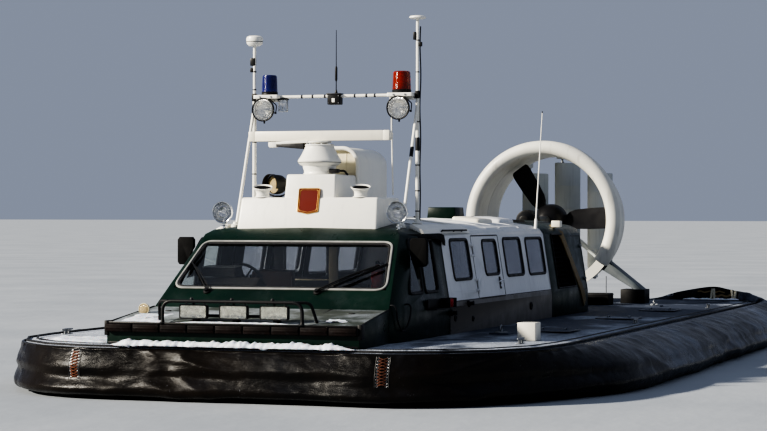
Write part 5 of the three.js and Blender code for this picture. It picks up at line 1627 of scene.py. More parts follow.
def foil(chord, thickness, steps=9):
    """A wing section as (along the chord from nose to tail, height) pairs, closed."""
    top = []
    for i in range(steps + 1):
        t = i / steps
        t = (t * t * (3 - 2 * t) + t * t) / 2
        curve = 0.2969 * math.sqrt(t) - 0.126 * t - 0.3516 * t ** 2 + 0.2843 * t ** 3 - 0.1015 * t ** 4
        top.append((chord * (t - 0.5), 5 * thickness * curve))
    return top + [(a, -b * 0.72) for a, b in top[-2:0:-1]]


def make_propeller():
    prop = Piece("propeller_blades")
    # radius, chord, thickness and pitch from the blade's root to its tip
    rows = [(120, 120, 52, 58), (186, 150, 44, 46), (232, 238, 36, 38), (300, 282, 29, 33),
            (480, 292, 23, 27), (600, 290, 19, 24), (690, 284, 15, 21), (735, 270, 12, 20),
            (756, 232, 8, 19.5), (760, 190, 5, 19.5)]
    for k in range(3):
        turn = rad(120 * k - 2.5)
        rings = []
        for radius, chord, thickness, pitch in rows:
            sin, cos = math.sin(rad(pitch)), math.cos(rad(pitch))
            ring = []
            for c, t in foil(chord, thickness):
                along, across = c * sin + t * cos, c * cos - t * sin
                x = radius * math.cos(turn) + across * math.sin(turn)
                z = across * math.cos(turn) - radius * math.sin(turn)
                ring.append(at(x, 10210 + along, SHAFT_Z + z))
            rings.append(ring)
        prop.add(loft(rings), "propeller")
    hub = [(0, 9980), (46, 9980), (50, 9984), (90, 10005), (128, 10035), (158, 10068), (182, 10110),
           (196, 10160), (200, 10210), (200, 10290), (194, 10298), (0, 10298)]
    prop.add(about_shaft(hub, 56), "propeller")
    prop.add(about_shaft([(0, 9240.4), (48, 9240.4), (48, 10329.6), (0, 10329.6)], 32), "steel")
    flange = [(48, 9250), (92, 9250), (96, 9256), (96, 9276), (92, 9282), (48, 9282)]
    prop.add(about_shaft(flange, 32), "steel")
    for k in range(6):
        a = 2 * math.pi * k / 6
        x, z = 70 * math.cos(a), SHAFT_Z + 70 * math.sin(a)
        prop.add(bar((x, 9282, z), (x, 9292, z), 9, 8), "steel")
    prop.done(body="propeller", replaces=["propeller"], slot="black_trim")


def make_rudders():
    ribs, stock = 5, 115
    sin, cos = math.sin(rad(-22)), math.cos(rad(-22))
    for node, x, half, bearing in RUDDERS:
        blade = Piece(f"{node}_blade")
        levels = [(-half, 0.90), (-half + 6, 0.985), (-half + 14, 1.0)]
        for k in range(1, ribs):
            z = -half + 2 * half * k / ribs
            levels += [(z - 5, 1.0), (z - 3, 1.06), (z + 3, 1.06), (z + 5, 1.0)]
        levels += [(half - 14, 1.0), (half - 6, 0.985), (half, 0.90)]
        rings = []
        for z, size in levels:
            places = [(b * size, a * min(size, 1.0) + stock) for a, b in foil(550, 44, 10)]
            level = SHAFT_Z + z
            rings.append([at(x + b * cos - a * sin, STOCK_D + b * sin + a * cos, level) for b, a in places])
        blade.add(loft(rings), "grey")
        for up in (1, -1):
            tip = SHAFT_Z + up * half
            pin = [(x, STOCK_D, z) for z in (tip - up * 4, SHAFT_Z + up * (bearing - 0.4))]
            blade.add(bar(*pin, 14, 18), "steel")
            blade.add(bar((x, STOCK_D, tip), (x, STOCK_D, tip + up * 12), 24, 18, bevel=3), "steel")
        blade.done(body=frame["nodes"][node]["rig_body"], replaces=[node], slot="grey_paint")


# Solids that keep their own shape, with softened edges: finish and bevel

PLAIN = {
    "helm_console": ("lining", 6), "roof_cap": ("white", 3), "roof_box": ("green", 6),
    "deck_box": ("cream", 6), "engine_bay": ("green", 6), "engine_block": ("engine", 6),
    "drive_cowling": ("green", 6), "belt_housing": ("black", 6),
}


def make_plain():
    """The solids of the table above, and the mirror heads."""
    for node, (finish, bevel) in PLAIN.items():
        piece = Piece(f"{node}_finish")
        piece.add(copied(node, bevel), finish)
        piece.done(replaces=[node])
    for name, _ in SIDES:
        piece = Piece(f"mirror_head_{name}")
        piece.add(copied(f"mirror_{name}", 5), "matte_black")
        piece.done(replaces=[f"mirror_{name}"], slot="black_trim")


def make_nav_lights():
    wall = 1100.4
    # The screen's plates: reach from the wall, and low and high ends
    plates = ((14, (1761, 690), (2335, 780)), (95, (1761, 690), (2335, 700)), (95, (2323, 690), (2335, 780)),
              (95, (2140, 690), (2150, 780)))
    for name, side in SIDES:
        piece = Piece(f"nav_screen_{name}")
        for reach, low, high in plates:
            piece.add(block((side * wall, *low), (side * (wall + reach), *high), 2.5), "black")
        piece.done(replaces=[f"nav_light_{name}"], slot="black_trim")
        glow = Piece(f"nav_lens_{name}")
        bulb = [(0, 699), (30, 699), (32, 703), (32, 766), (28, 773), (0, 775)]
        glow.add(turned(bulb, (side * (wall + 48), 2283), steps=28), "nav_red" if side > 0 else "nav_green")
        glow.done(slot=f"nav_{name}")


# Seats: how far a pad's faces swell and its corners pull in, and the cuts along each edge

SWELL, PULL, CUTS = 10, 26, 8


def cushion(low, high):
    """A stuffed pad: its faces crown between the seams and its sides pull in at the corners."""
    bm = bmesh.new()
    bmesh.ops.create_cube(bm, size=2.0)
    bmesh.ops.subdivide_edges(bm, edges=bm.edges[:], cuts=CUTS, use_grid_fill=True)
    a, b = at(*low), at(*high)
    centre, half = (a + b) / 2, Vector([abs(c) for c in (b - a) / 2])
    for v in bm.verts:
        p, q = v.co.copy(), v.co.copy()
        round_off = [math.cos(c * math.pi / 2) ** 0.6 for c in p]
        for i in range(3):
            if abs(p[i]) > 0.999:
                crown = round_off[(i + 1) % 3] * round_off[(i + 2) % 3]
                inset = min(0.6, PULL * MM / half[i] * (1 - crown))
                q[i] = p[i] * (1 - inset) + math.copysign(SWELL * MM / half[i] * (crown - 0.4), p[i]) * 0.6
        wrinkle = noise.noise(Vector((p.x * 3, p.y * 3, p.z * 3 + low[0]))) * 0.004
        v.co = centre + q * half * (1 + wrinkle)
    return bm


def make_seats():
    pads = [
        ("helm_seat_pad", "helm_seat", (-840, 2060, 300), (-400, 2455, 495)),
        ("helm_seat_back", None, (-835, 2455, 480), (-405, 2556, 1010)),
    ]
    bases = [((-815, 2080, 165.4), (-425, 2430, 305))]
    for name, side in SIDES:
        inner, outer = sorted((side * 480, side * 905))
        pads.append((f"bench_pad_{name}", f"bench_{name}", (inner, 4430, 330), (outer, 5800, 505)))
        inner, outer = sorted((side * 822, side * 903))
        pads.append((f"bench_back_{name}", None, (inner, 4432, 500), (outer, 5798, 800)))
        bases.append(((side * 500, 4450, 165.4), (side * 900, 5780, 335)))
    for name, node, low, high in pads:
        piece = Piece(name)
        piece.add(cushion(low, high), "seat")
        obj = piece.done(replaces=[node] if node else (), slot="seat_cover", crease=60)
    base = Piece("seat_bases")
    for low, high in bases:
        base.add(block(low, high, 10), "lining")
    base.done(slot="black_trim")


# Seams and small fittings of the cab and cabin

THIN = bead(4, -1, 1.0, 2, 2.2)


def side_strip(side, points, radius=0, closed=False, lift=0.0):
    """A line of places on the side wall through (station, height) points, with the wall's normals."""
    if radius:
        flat = rounded_path([Vector((a, b, 0)) for a, b in points], radius, 6, closed)
        points = [(p.x, p.y) for p in flat]
    ends = list(zip(points, points[1:] + (points[:1] if closed else [])))
    fine = []
    for a, b in ends:
        steps = max(1, int(math.hypot(b[0] - a[0], b[1] - a[1]) / 120))
        fine += [(a[0] + (b[0] - a[0]) * k / steps, a[1] + (b[1] - a[1]) * k / steps) for k in range(steps)]
    if not closed:
        fine.append(points[-1])
    hits = [on_side(side, d, z) for d, z in fine][::side]
    return [p + n * (lift * MM) for p, n in hits], [n for _, n in hits]


def lay(piece, side, points, section=THIN, finish="rubber", radius=0, closed=False):
    """Lays a strip of one section along the side wall."""
    piece.add(sweep(*side_strip(side, points, radius, closed), section, closed=closed), finish)


def hoop(d):
    """The cabin's section at a station as places and normals, from the port deck over the roof."""
    path, normals = [], []
    outline = CABIN_HALF + [(-x, z) for x, z in CABIN_HALF[-2::-1]]
    for before, (x, z), after in zip(outline[:1] + outline, outline, outline[1:] + outline[-1:]):
        path.append(at(x, d, z))
        normals.append(Vector((after[1] - before[1], 0, before[0] - after[0])).normalized())
    return path, normals


def make_seams():
    seams, strips = Piece("cabin_seams"), Piece("cabin_side_strips")
    rail = [(-4, -1), (-3, 2.4), (3, 2.4), (4, -1)]
    rivets = [(2520 + 116 * k, 762) for k in range(8)] + [(4350 + 130 * k, 764) for k in range(13)]
    for d in (CAB_REAR + 1, CABIN_REAR - 1):
        seams.add(sweep(*hoop(d), THIN, closed=False), "rubber")
    for _, side in SIDES:
        door = [(3384, 733), (4297, 733), (4297, 1319), (3384, 1319)]
        lay(seams, side, door, [(a * 1.1, b) for a, b in THIN], radius=26, closed=True)
        lay(seams, side, [(4302, 738), (6040, 738)])
        lay(seams, side, [(2470, 735), (3376, 735)])
        for z in (803, 822):
            lay(strips, side, [(2560, z), (3340, z)], rail, "cabin_white")
        for d, z in rivets:
            strips.add(bolt_head(*on_side(side, d, z), 5, 2.2, 10), "cabin_white")
        for d, z, r in ((2600, 590, 34), (3150, 560, 26), (5200, 600, 40)):
            rows = ((0, r), (7, r), (12, r * 0.8), (12, r * 0.45), (5, r * 0.4))
            strips.add(boss(*on_side(side, d, z), rows, 20), "black")
    seams.done(slot="black_trim")
    strips.done(slot="white_paint")


def make_visors():
    """Dark awnings over the cab's side panes."""
    # Places round the awning's section: share of its reach, metres on top, share of its drop, metres on top
    section = ((0, -0.010, 0, 0), (0.62, 0, 0, 0.008), (1, 0, 0.6, 0), (1.02, 0, 1, 0), (1.02, -0.008, 1, 0),
               (1, -0.010, 0.6, 0), (0.55, 0, 0, 0.020), (0, -0.010, 0, 0.014))
    for name, side in SIDES:
        path, _ = side_strip(side, [(1690, 1346), (2430, 1352), (2560, 1338)])
        rows = []
        for i, p in enumerate(path):
            t = i / (len(path) - 1)
            reach = 0.068 * min(1.0, 0.35 + 4 * t, 0.45 + 5 * (1 - t))
            drop = 0.050 + 0.052 * ramp(t, 0.55, 1.0)
            rows.append([p + side * PORT * (a * reach + b) - UP * (c * drop + e) for a, b, c, e in section])
        visor = Piece(f"pane_visor_{name}")
        visor.add(loft(rows), "matte_black")
        visor.done(slot="black_trim", crease=40)


def make_door_fittings():
    for name, side in SIDES:
        piece = Piece(f"door_handle_{name}")
        spot, normal = on_side(side, 4160, 862)
        up = (UP - normal * normal.z).normalized()

        def placed(out, rise, aft=0.0):
            return spot + normal * out + up * rise + AFT * aft

        plate = rounded_box((-26, -58), (26, 58), 10, 4)
        rows = [(0.4, plate), (4, plate), (6, [(a * 0.86, b * 0.93) for a, b in plate])]
        piece.add(loft([[placed(h * MM, b * MM, a * MM) for a, b in shape] for h, shape in rows]), "black")
        grip = [placed(0.006, 0.022), placed(0.034, 0.022), placed(0.036, 0.02, -0.03),
                placed(0.034, 0.012, -0.11)]
        piece.add(tube_along(smooth_path(grip, 5), 8, 12), "chrome")
        piece.add(boss(placed(0, -0.030), normal, ((6, 13), (11, 11)), 18), "chrome")
        piece.done(body=f"door_{name}", slot="black_trim")
        fittings = Piece(f"cab_fittings_{name}")
        for d, z in ((3010, 700), (2480, 640)):
            knob = ((0, 30), (12, 30), (20, 18), (45, 16), (50, 22), (58, 20))
            fittings.add(boss(*on_side(side, d, z), knob), "black")
        rail, normals = side_strip(side, [(2520, 1352), (3260, 1352)], lift=34)
        fittings.add(tube_along(rail, 8, 12), "black")
        for share in (0.06, 0.5, 0.94):
            i = int(share * (len(rail) - 1))
            fittings.add(tube_along([rail[i] - normals[i] * 0.038, rail[i]], 6, 10), "black")
        fittings.done(slot="black_trim")


def make_searchlight():
    """The searchlight behind the starboard ventilator, turned a little to port."""
    x, d, z = -433, 2140, 1782
    centre = at(x, d, z)
    lean = Matrix.Translation(centre) @ Matrix.Rotation(rad(-24), 4, "Z") @ Matrix.Translation(-centre)
    lamp = Piece("searchlight_body")
    body = [(0, 78), (40, 76), (70, 58), (84, 30), (88, 0), (88, -52), (84, -60), (79, -58), (79, -30),
            (66, 10), (30, 40), (0, 46)]
    lamp.add(moved(facing(body, x, d, z, 48), lean), "black")
    hood = []
    for k in range(17):
        a = rad(-25 + 230 * k / 16)
        brim = ((90, -54), (93, -54), (94, -104), (91, -104))
        hood.append([at(x + r * math.cos(a), d + e, z + r * math.sin(a)) for r, e in brim])
    lamp.add(moved(loft(hood), lean), "black")
    for s in (-1, 1):
        arm = [(x + s * 98, d, z), (x + s * 98, d, z - 84), (x + s * 30, d, z - 104)]
        lamp.add(tube(arm, 7, 10, bend=20), "black")
        lamp.add(bar((x + s * 86, d, z), (x + s * 104, d, z), 14, 16, bevel=3), "black")
    foot = [(0, FAIRING_TOP), (54, FAIRING_TOP), (54, 1669), (34, 1675), (28, 1684), (0, 1684)]
    lamp.add(turned(foot, (x, d), steps=32), "black")
    lamp.done(slot="black_trim")
    glass = Piece("searchlight_lens")
    front = [(0, -52), (50, -48), (79, -40), (79, -34), (50, -42), (0, -46)]
    bulb = [(0, -10), (14, -8), (16, 30), (0, 34)]
    glass.add(moved(facing(front, x, d, z, 40), lean), "tan_glass")
    glass.add(moved(facing(bulb, x, d, z, 20), lean), "mirrored")
    glass.done(slot="lamp_face")


def make_clear_lamp():
    """The clear lamp box that hangs under the beam."""
    clear = Piece("clear_lamp_box")
    clear.add(block((-545, 2420, 2452), (-468, 2490, 2562), 8, 3), "clear_box")
    clear.done(slot="lamp_face")
    holder = Piece("clear_lamp_holder")
    holder.add(block((-550, 2416, 2560), (-463, 2494, 2574), 3), "black")
    holder.add(bar((-506, MAST_D, 2470), (-506, MAST_D, 2562), 11, 16, 7), "mirrored")
    holder.add(bar((-506, MAST_D, 2560), (-506, MAST_D, 2562), 26, 20), "chrome")
    holder.done(slot="black_trim")


# Roof hatches: near and far x, fore and aft stations, finish
HATCHES = ((400, 690, 4740, 5230, "cream"), (370, 700, 5480, 5990, "cabin_white"))


def make_roof_hatches():
    hatches = Piece("roof_hatches")
    for side in (1, -1):
        for near, far, fore, aft, finish in HATCHES:
            left, right = sorted((side * near, side * far))
            ring = rounded_box((left, fore), (right, aft), 40)
            cx, cd = (left + right) / 2, (fore + aft) / 2
            rows = []
            for grow, rise in ((1.0, -6), (1.0, 22), (0.985, 30), (0.94, 36), (0.5, 42)):
                spots = [on_roof(cx + (a - cx) * grow, cd + (b - cd) * grow)[0] for a, b in ring]
                rows.append([spot + UP * rise * MM for spot in spots])
            hatches.add(loft(rows), finish)
            for d in (fore + 60, aft - 60):
                hinge = on_roof(side * (near + 8), d)[0] + UP * 0.030
                pin = [ring_about(hinge + AFT * reach, AFT, 0.011, 12) for reach in (-0.03, 0.03)]
                hatches.add(loft(pin), "black")
    hatches.done(slot="white_paint")
    ribs = Piece("roof_ribs")
    section = [(-14, -1), (-12, 4), (-6, 6), (6, 6), (12, 4), (14, -1)]
    for d in (3560, 4150, 4640, 5340):
        hits = [on_roof(-930 + 1860 * k / 16, d) for k in range(17)]
        path, normals = [place for place, _ in hits], [normal for _, normal in hits]
        ribs.add(sweep(path, normals, section, closed=False), "cabin_white")
    ribs.done(slot="white_paint")


# Engine bay

STRIP_TOP, STRIP_FOOT = (6722, 1394), (7462, 556)
INTAKE = [(6354, 744), (7122, 744), (6812, 1313), (6354, 1313)]


def make_bay_sides():
    """The slanting strip, the intake's frame and slats, seams and latches of the engine bay."""
    strip, frames, slats = Piece("bay_slant_strips"), Piece("bay_intake_frames"), Piece("bay_intake_slats")
    for _, side in SIDES:
        lay(strip, side, [STRIP_TOP, STRIP_FOOT], bead(62, -2, 9, 56, 13), "tan")
        strip.add(block((side * 928, 6664, 1388), (side * 1022, 6772, 1458), 6), "cream")
        for k in range(9):
            d, z = Vector(STRIP_TOP).lerp(Vector(STRIP_FOOT), (k + 0.5) / 9)
            spot, normal = on_side(side, d, z)
            strip.add(bolt_head(spot + normal * 0.013, normal, 7, 4), "steel")
        lay(frames, side, INTAKE, bead(9, -1, 7, 4, 11), "black", 14, closed=True)
        for z in range(775, 1256, 48):
            rear = 7100 - (z - 752) / 553 * 305
            rows = []
            for d in (6366, rear):
                p = on_side(side, d, z)[0] - side * PORT * 0.012
                section = ((0, 0), (0.002, -0.004), (-0.045, 0.028), (-0.045, 0.034))
                rows.append([p + side * PORT * out + UP * up for out, up in section])
            slats.add(loft(rows), "mesh")
        lay(frames, side, [(7180, 700), (7600, 700), (7600, 1290), (7010, 1290)], radius=24)
        for d, z in ((7570, 820), (7570, 1180)):
            frames.add(boss(*on_side(side, d, z), ((0, 22), (6, 22), (10, 14), (18, 12))), "steel")
    strip.done(slot="black_trim")
    frames.done(slot="black_trim")
    slats.done(slot="black_trim")


def make_bay_top():
    top = Piece("bay_top_vents")
    louvre = ((-4, -2), (30, -2), (30, 6), (2, 18), (-4, 14))
    for ends in ((-620, -80), (80, 620)):
        for d in range(6220, 6740, 52):
            rows = [[on_roof(x, d)[0] + Vector((0, a * MM, b * MM)) for a, b in louvre] for x in ends]
            top.add(loft(rows), "black")
    for x in (-700, 700):
        path = [on_roof(x, d)[0] + UP * 0.002 for d in range(6130, 7600, 90)]
        top.add(tube_along(path, 5, 8), "rubber")
    top.done(slot="black_trim")


# What shows through the windshield

def make_bulkhead():
    """The wall behind the helm, with its window, its pale pillar and a pale strip under the window, both
    lightened with painted light.
    """
    wall = Piece("cabin_bulkhead")
    boards = (((-930, 700), (-820, 1290)), ((-372, 700), (-352, 1290)), ((-820, 700), (-372, 900)),
              ((-820, 1238), (-372, 1290)), ((380, 700), (930, 1290)))
    for (x0, z0), (x1, z1) in boards:
        wall.add(block((x0, 3290, z0), (x1, 3306, z1), 3), "lining")
    # The pillar's tan raised into painted light, and under the window a pale strip: a painted highlight on
    # the lit lower edge of its seal.
    wall.add(block((-366, 3278, 470), (-276, 3312, 1330), 8), "pillar")
    wall.add(block((-830, 3276, 886), (-366, 3292, 900), 4), "pillar")
    path = [at(a, 3288, b) for a, b in rounded_box((-814, 906), (-378, 1232), 52, 6)]
    wall.add(sweep(path, [FORE] * len(path), bead(13, -2, 6, 6, 9)), "rubber")
    wall.done(slot="black_trim")


def make_helm():
    """The instrument pod with its screens, the wheel and a row of knobs."""
    pod = Piece("helm_instruments")
    foot = [(x, d, 961) for d in (1470, 1690) for x in (-890, -560)]
    head = [(x, d, z) for d, z in ((1500, 1046), (1660, 1052)) for x in (-880, -575)]
    pod.add(hull_of(foot + head, 14, 3), "lining")
    edge = [(-884, 1496, 1048), (-571, 1496, 1048), (-571, 1662, 1056), (-884, 1662, 1056)]
    pod.add(tube(edge, 4, 8, closed=True), "seal_grey")
    for x in (-860, -720):
        screen = [at(x, 1694, 975), at(x + 120, 1694, 975), at(x + 120, 1690, 1038), at(x, 1690, 1038)]
        pod.add(prism(screen, AFT * 0.003), "screen")
    centre, tilt = at(-620, 1812, 930), Vector((0, 0.85, 0.53)).normalized()
    pod.add(tube_along(ring_about(centre, tilt, 0.165, 40), 13, 10, closed=True), "rubber")
    pod.add(tube_along([centre - tilt * 0.10, centre + tilt * 0.01], [22, 26], 16), "black")
    for rim in ring_about(centre, tilt, 0.160, 3):
        pod.add(tube_along([centre, rim], 8, 8), "black")
    for x in range(-520, -316, 34):
        pod.add(bar((x, 1560, 960), (x, 1560, 984), 8, 10, bevel=2), "black")
    pod.done(slot="black_trim")


def make_extinguisher():
    bottle = Piece("extinguisher")
    x, d = 470, 2290
    body = [(0, 760), (52, 760), (56, 768), (56, 1010), (48, 1036), (24, 1050), (18, 1066), (0, 1068)]
    valve = [(0, 1064), (20, 1066), (20, 1086), (12, 1094), (0, 1096)]
    bottle.add(turned(body, (x, d), steps=32), "red_paint")
    bottle.add(turned(valve, (x, d), steps=20), "black")
    bottle.add(tube([(x, d, 1080), (x + 60, d, 1076), (x + 66, d, 900)], 7, 10, bend=24), "rubber")
    bottle.add(block((x - 60, d - 10, 160), (x + 60, d + 70, 762), 8), "lining")
    bottle.done(slot="red_lens")


# Deck fittings

DECK = 447.2


def make_cleats():
    """The cleats along the decks and the four lifting eyes."""
    cleats = Piece("deck_cleats")
    horn = ((-104, 46), (-80, 43), (-40, 42), (40, 42), (80, 43), (104, 46))
    for x, d in ((2080, 1250), (-2080, 1250), (2220, 5000), (-2220, 5000), (2200, 9000), (-2200, 9000)):
        cleats.add(block((x - 22, d - 75, DECK), (x + 22, d + 75, DECK + 8), 5), "steel")
        for s in (-1, 1):
            cleats.add(bar((x, d + s * 36, DECK + 4), (x, d + s * 36, DECK + 40), 11, 14), "steel")
        cleats.add(tube_along([at(x, d + k, DECK + z) for k, z in horn], [6, 9, 12, 12, 9, 6], 14), "steel")
    cleats.done(slot="chrome")
    eyes = Piece("lift_eyes")
    plate = [(0, 6), (60, 6), (60, 16), (54, 21), (0, 21)]
    for x, d in ((1500, 2700), (1500, 9300), (-1500, 2700), (-1500, 9300)):
        eyes.add(turned([(r, DECK + h) for r, h in plate], (x, d), steps=28), "steel")
        eyes.add(tube_along(ring_about(at(x, d, DECK + 46), PORT, 0.030, 24), 8, 12, closed=True), "steel")
        for a in (45, 135, 225, 315):
            spot = at(x + 42 * math.cos(rad(a)), d + 42 * math.sin(rad(a)), DECK + 21)
            eyes.add(bolt_head(spot, UP, 8, 6), "steel")
    eyes.done(slot="chrome")


def make_deck_hatches():
    hatches = Piece("deck_hatches")
    rim = [(-14, -1), (-13, 3), (-9, 5), (9, 5), (13, 3), (14, -1)]
    for x in (1780, -1780):
        for d in (3500, 6200, 8300):
            outline = rounded_box((x - 190, d - 260), (x + 190, d + 260), 50, 6)
            path = [at(a, b, DECK) for a, b in outline]
            cover = [at(x + (a - x) * 0.9, d + (b - d) * 0.93, DECK - 1) for a, b in outline]
            hatches.add(sweep(path, [UP] * len(path), rim), "alloy")
            hatches.add(prism(cover, UP * 0.004), "deck")
            for grip_x in (x - 110, x + 110):
                grip = [(grip_x, d + k, DECK + z) for k, z in ((-40, 2), (-40, 20), (40, 20), (40, 2))]
                hatches.add(tube(grip, 5, 8, bend=10), "steel")
    hatches.done(slot="hull_paint")


def make_stern_boxes():
    boxes = Piece("stern_deck_boxes")
    for side in (1, -1):
        boxes.add(block((side * 620, 9400, DECK), (side * 930, 9640, DECK + 140), 10, 3), "black")
        boxes.add(block((side * 614, 9394, DECK + 118), (side * 936, 9646, DECK + 128), 4), "rubber")
        boxes.add(bar((side * 868, 9520, DECK + 139), (side * 868, 9520, DECK + 345), 6, 12), "steel")
    boxes.done(slot="black_trim")


def make_bow_marker():
    mark = Piece("bow_marker_lamp")
    x, d, z = -984, 520, 716
    shell = [(0, 26), (30, 24), (46, 14), (50, 0), (50, -8), (46, -12), (44, -8), (0, -8)]
    glass = [(0, -18), (22, -17), (36, -12), (44, -7), (0, -6)]
    foot = [(0, z - 74), (28, z - 74), (28, z - 64), (16, z - 58), (0, z - 58)]
    mark.add(facing(shell, x, d, z, 32), "panel")
    mark.add(facing(glass, x, d, z, 32), "tan_glass")
    mark.add(bar((x, d + 6, z - 66), (x, d + 6, z - 44), 12, 14), "black")
    mark.add(turned(foot, (x, d + 6), steps=20), "black")
    mark.done(slot="cream_paint")


def make_edge_bead():
    """A second dark bead just inside the deck's edge."""
    path, _ = edge_line(EDGE_POINTS, -92, 447.6)
    strip = Piece("deck_edge_bead")
    strip.add(sweep(path, [UP] * len(path), bead(9, -2, 3, 5, 6)), "rubber")
    strip.done(slot="black_trim")


# Lashings, the hose and what lies on the craft

def stern_face(x, z):
    """Where the folded skirt at the stern faces forward, as a place and a normal, or None."""
    hits = [on_skirt(run, at(x, 10350, z), AFT) for run in SKIRT_TREES]
    hits = [hit for hit in hits if hit[0] is not None]
    nearest = min(hits, key=lambda hit: hit[0].y, default=None)
    return nearest if nearest and nearest[0].y < at(0, 11700, 0).y else None


def make_lashings():
    """Straps, ropes and caught snow on the folded skirt at the stern's corners."""
    for name, side in SIDES:
        piece = Piece(f"stern_lashing_{name}")
        for z, x0, x1, half in ((500, 1740, 2075, 13), (548, 1580, 1930, 9)):
            spots = [(side * (x0 + (x1 - x0) * k / 22), z + 8 * math.sin(k * 0.8)) for k in range(23)]
            hits = [hit for hit in (stern_face(*spot) for spot in spots) if hit][::side]
            if len(hits) > 4:
                section = [(-half, -3), (-half, 5), (half, 5), (half, -3)]
                places, normals = [place for place, _ in hits], [normal for _, normal in hits]
                piece.add(sweep(places, normals, section, closed=False), "tan")
        for x0, lean in ((1756, 18), (1800, -10), (2040, -20), (2066, 12)):
            hits = [stern_face(side * (x0 + lean * k / 9), 452 + 15 * k) for k in range(10)]
            hits = [hit for hit in hits if hit]
            if len(hits) > 4:
                piece.add(tube_along([place + normal * 0.014 for place, normal in hits], 16, 10), "rope")
        for k in range(15):
            hit = stern_face(side * (1430 + 46 * k), 470)
            if not hit:
                continue
            size = 20 + 13 * math.sin(k * 2.3) ** 2
            lump = [(0, 444), (size * 1.8, 445), (size * 2.0, 450), (size * 1.4, 447 + size * 0.5),
                    (size * 0.6, 447 + size * 0.75), (0, 447 + size * 0.8)]
            lump = [(r * (1 + 0.12 * math.sin(k + r)), z) for r, z in lump]
            x, d = hit[0].x / MM, (hit[0].y - BOW_Y) / MM - size * 0.5
            piece.add(turned(lump, (x, d), steps=18), "snow")
        piece.done(slot="black_trim", crease=70)


def make_lamp_snow():
    """Two thin lines of snow at the foot of the bow's lamps."""
    lines = Piece("lamp_foot_snow")
    section = ((-1, -0.2), (-0.7, 0.6), (0, 1), (0.7, 0.6), (1, -0.2), (0, -0.4))
    count = 90
    for d, x0, x1, size in ((66, -640, 560, 9), (128, -470, 470, 11)):
        rings = []
        for i in range(count + 1):
            t = i / count
            x = x0 + (x1 - x0) * t
            end = min(1.0, 8 * t, 8 * (1 - t))
            high = size * end * (0.75 + 0.7 * noise.noise(Vector((x * 0.02, d, 1)))) + 1
            wide = 13 * (0.4 + 0.6 * end) * (1 + 0.4 * noise.noise(Vector((x * 0.03, d, 4))))
            rings.append([bow_top(x, d) + Vector((0, a * wide * MM, b * high * MM)) for a, b in section])
        lines.add(loft(rings), "snow")
    lines.done(slot="cream_paint", crease=80)


def make_hose_loop():
    """A limp hose that hangs in a loop on the cab's port side."""
    first, last = (on_side(1, d, 760)[0] for d in (935, 1235))
    out = PORT
    low = (first + last) / 2 + Vector((0, 0, -0.215))
    points = [
        first,
        first + out * 0.020,
        first + out * 0.040 + Vector((0, 0.006, -0.012)),
        first + out * 0.050 + Vector((0, 0.018, -0.050)),
        first + out * 0.048 + Vector((0, 0.045, -0.120)),
        low + out * 0.046 + Vector((0, -0.060, 0.012)),
        low + out * 0.046,
        low + out * 0.046 + Vector((0, 0.060, 0.012)),
        last + out * 0.048 + Vector((0, -0.045, -0.120)),
        last + out * 0.050 + Vector((0, -0.018, -0.050)),
        last + out * 0.040 + Vector((0, -0.006, -0.012)),
        last + out * 0.020,
        last,
    ]
    path = smooth_path(points, 3)
    loop = Piece("side_hose_loop")
    loop.add(tube_along(path, 7, 12), "rubber")
    made = loop.done(slot="black_trim")


def make_ledge_snow():
    """Lumpy snow along the ledge under the bow locker."""
    ledge = Piece("bow_ledge_snow")
    rings = []
    count = 240
    for i in range(count + 1):
        t = i / count
        x = -1040 + 2120 * t
        end = min(1.0, t * 14, (1 - t) * 10)
        seed = noise.noise(Vector((x * 0.006, 0, 3)))
        high = max(2.0, (40 + seed * 26 + noise.noise(Vector((x * 0.028, 5, 1))) * 15) * end)
        wide = (46 + seed * 14 + noise.noise(Vector((x * 0.02, 9, 9))) * 9) * (0.35 + 0.65 * end)
        hang = max(0.0, noise.noise(Vector((x * 0.008, 7, 2))) * 60 - 12 + (26 if x < -860 else 0)) * end
        ring = []
        for k in range(16):
            cos, sin = math.cos(2 * math.pi * k / 16), math.sin(2 * math.pi * k / 16)
            lump = 1 + 0.22 * noise.noise(Vector((x * 0.03, cos * 1.4, sin * 1.4)))
            d = -4 - wide * cos * lump
            depth = 6 + (hang if d < -20 else 0)
            ring.append(at(x, d, 447 + sin * (high * lump if sin > 0 else depth)))
        rings.append(ring)
    ledge.add(loft(rings), "snow")
    ledge.done(slot="cream_paint", crease=80)


def is_inside(line, x, d):
    """Whether a place on the deck lies inside a closed line."""
    place, odd = at(x, d, 0), False
    for a, b in zip(line, line[1:] + line[:1]):
        if (a.y > place.y) != (b.y > place.y):
            odd ^= place.x < a.x + (place.y - a.y) / (b.y - a.y) * (b.x - a.x)
    return odd


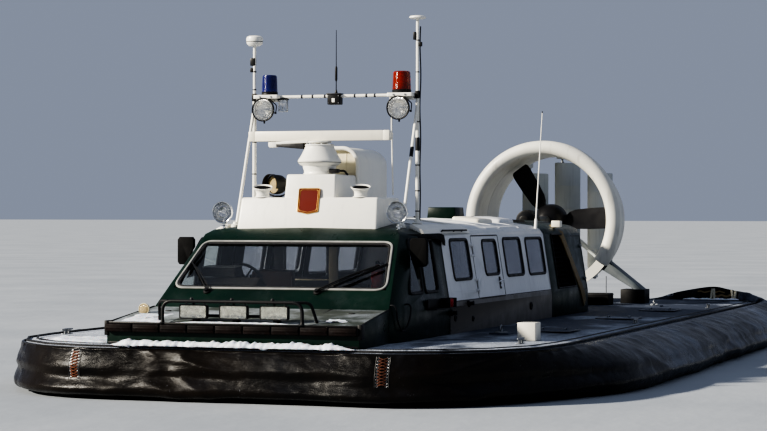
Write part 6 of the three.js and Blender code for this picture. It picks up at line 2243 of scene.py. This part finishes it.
def drift_sheet(x0, x1, d0, d1, on_locker, rise, shore, edge):
    """A sheet of snow over a rectangle of the locker's top, or of the deck up to the shore line."""
    bm = bmesh.new()
    nx, nd = max(6, int((x1 - x0) / 22)), max(4, int((d1 - d0) / 22))
    grid = []
    for i in range(nx + 1):
        row = []
        for j in range(nd + 1):
            u, v = i / nx, j / nd
            x, d = x0 + (x1 - x0) * u, d0 + (d1 - d0) * v
            if not on_locker and not is_inside(edge, x, d):
                row.append(None)
                continue
            rim = min(1.0, 5 * u, 5 * (1 - u), 5 * v, 5 * (1 - v))
            shape = noise.noise(Vector((x * 0.0042, d * 0.0042, 1 if on_locker else 447)))
            shape += 0.5 * noise.noise(Vector((x * 0.016, d * 0.016, 2)))
            up = (rim * 0.9 - 0.42 + shape * 0.55) * rise
            if not on_locker and not is_inside(shore, x, d):
                up = min(up, -1.5)
            ground = bow_top(x, d).z / MM if on_locker else 447
            row.append(bm.verts.new(at(x, d, ground + max(up, -3))))
        grid.append(row)
    for i in range(nx):
        for j in range(nd):
            face = (grid[i][j], grid[i + 1][j], grid[i + 1][j + 1], grid[i][j + 1])
            if all(face):
                bm.faces.new(face)
    bmesh.ops.delete(bm, geom=[v for v in bm.verts if not v.link_faces], context="VERTS")
    return bm


# Drifts: from x to x, from station to station, whether on the locker's top, and how high
DRIFTS = (
    (-1060, -640, 90, 560, True, 20), (-560, 600, 66, 120, True, 12), (-2000, -1160, 60, 900, False, 30),
    (-1500, -1130, -10, 240, False, 40), (640, 1040, 200, 520, True, 6),
)


def make_drifts():
    """Thin drifts of snow on the bow locker's top and on the deck beside it."""
    shore, edge = (edge_line(4, -inset, 447)[0] for inset in (150, 75))
    drifts = Piece("deck_snow_drifts")
    for drift in DRIFTS:
        drifts.add(drift_sheet(*drift, shore, edge), "snow")
    drifts.done(slot="cream_paint", crease=80)


STEPS = (
    make_skirt, make_deck_edge, make_lacing, make_hull, make_bow_locker, make_fender, make_bow_lamps,
    make_lamp_guard, make_walls, make_side_windows, make_windshield, make_wipers, make_fairing,
    make_front_plate, make_ventilators, make_radar_stand, make_scanner, make_scoop, make_roof_lights,
    make_mast, make_mast_fittings, make_spotlights, make_beacons, make_antennas, make_antenna_box,
    make_whip, make_duct_lip, make_duct_barrel, make_duct_legs, make_propeller, make_rudders,
    make_plain, make_nav_lights, make_seats, make_seams, make_visors, make_door_fittings,
    make_searchlight, make_clear_lamp, make_roof_hatches, make_bay_sides, make_bay_top, make_bulkhead,
    make_helm, make_extinguisher, make_cleats, make_deck_hatches, make_stern_boxes, make_bow_marker,
    make_edge_bead, make_lashings, make_lamp_snow, make_hose_loop, make_ledge_snow, make_drifts,
)
for step in STEPS:
    step()
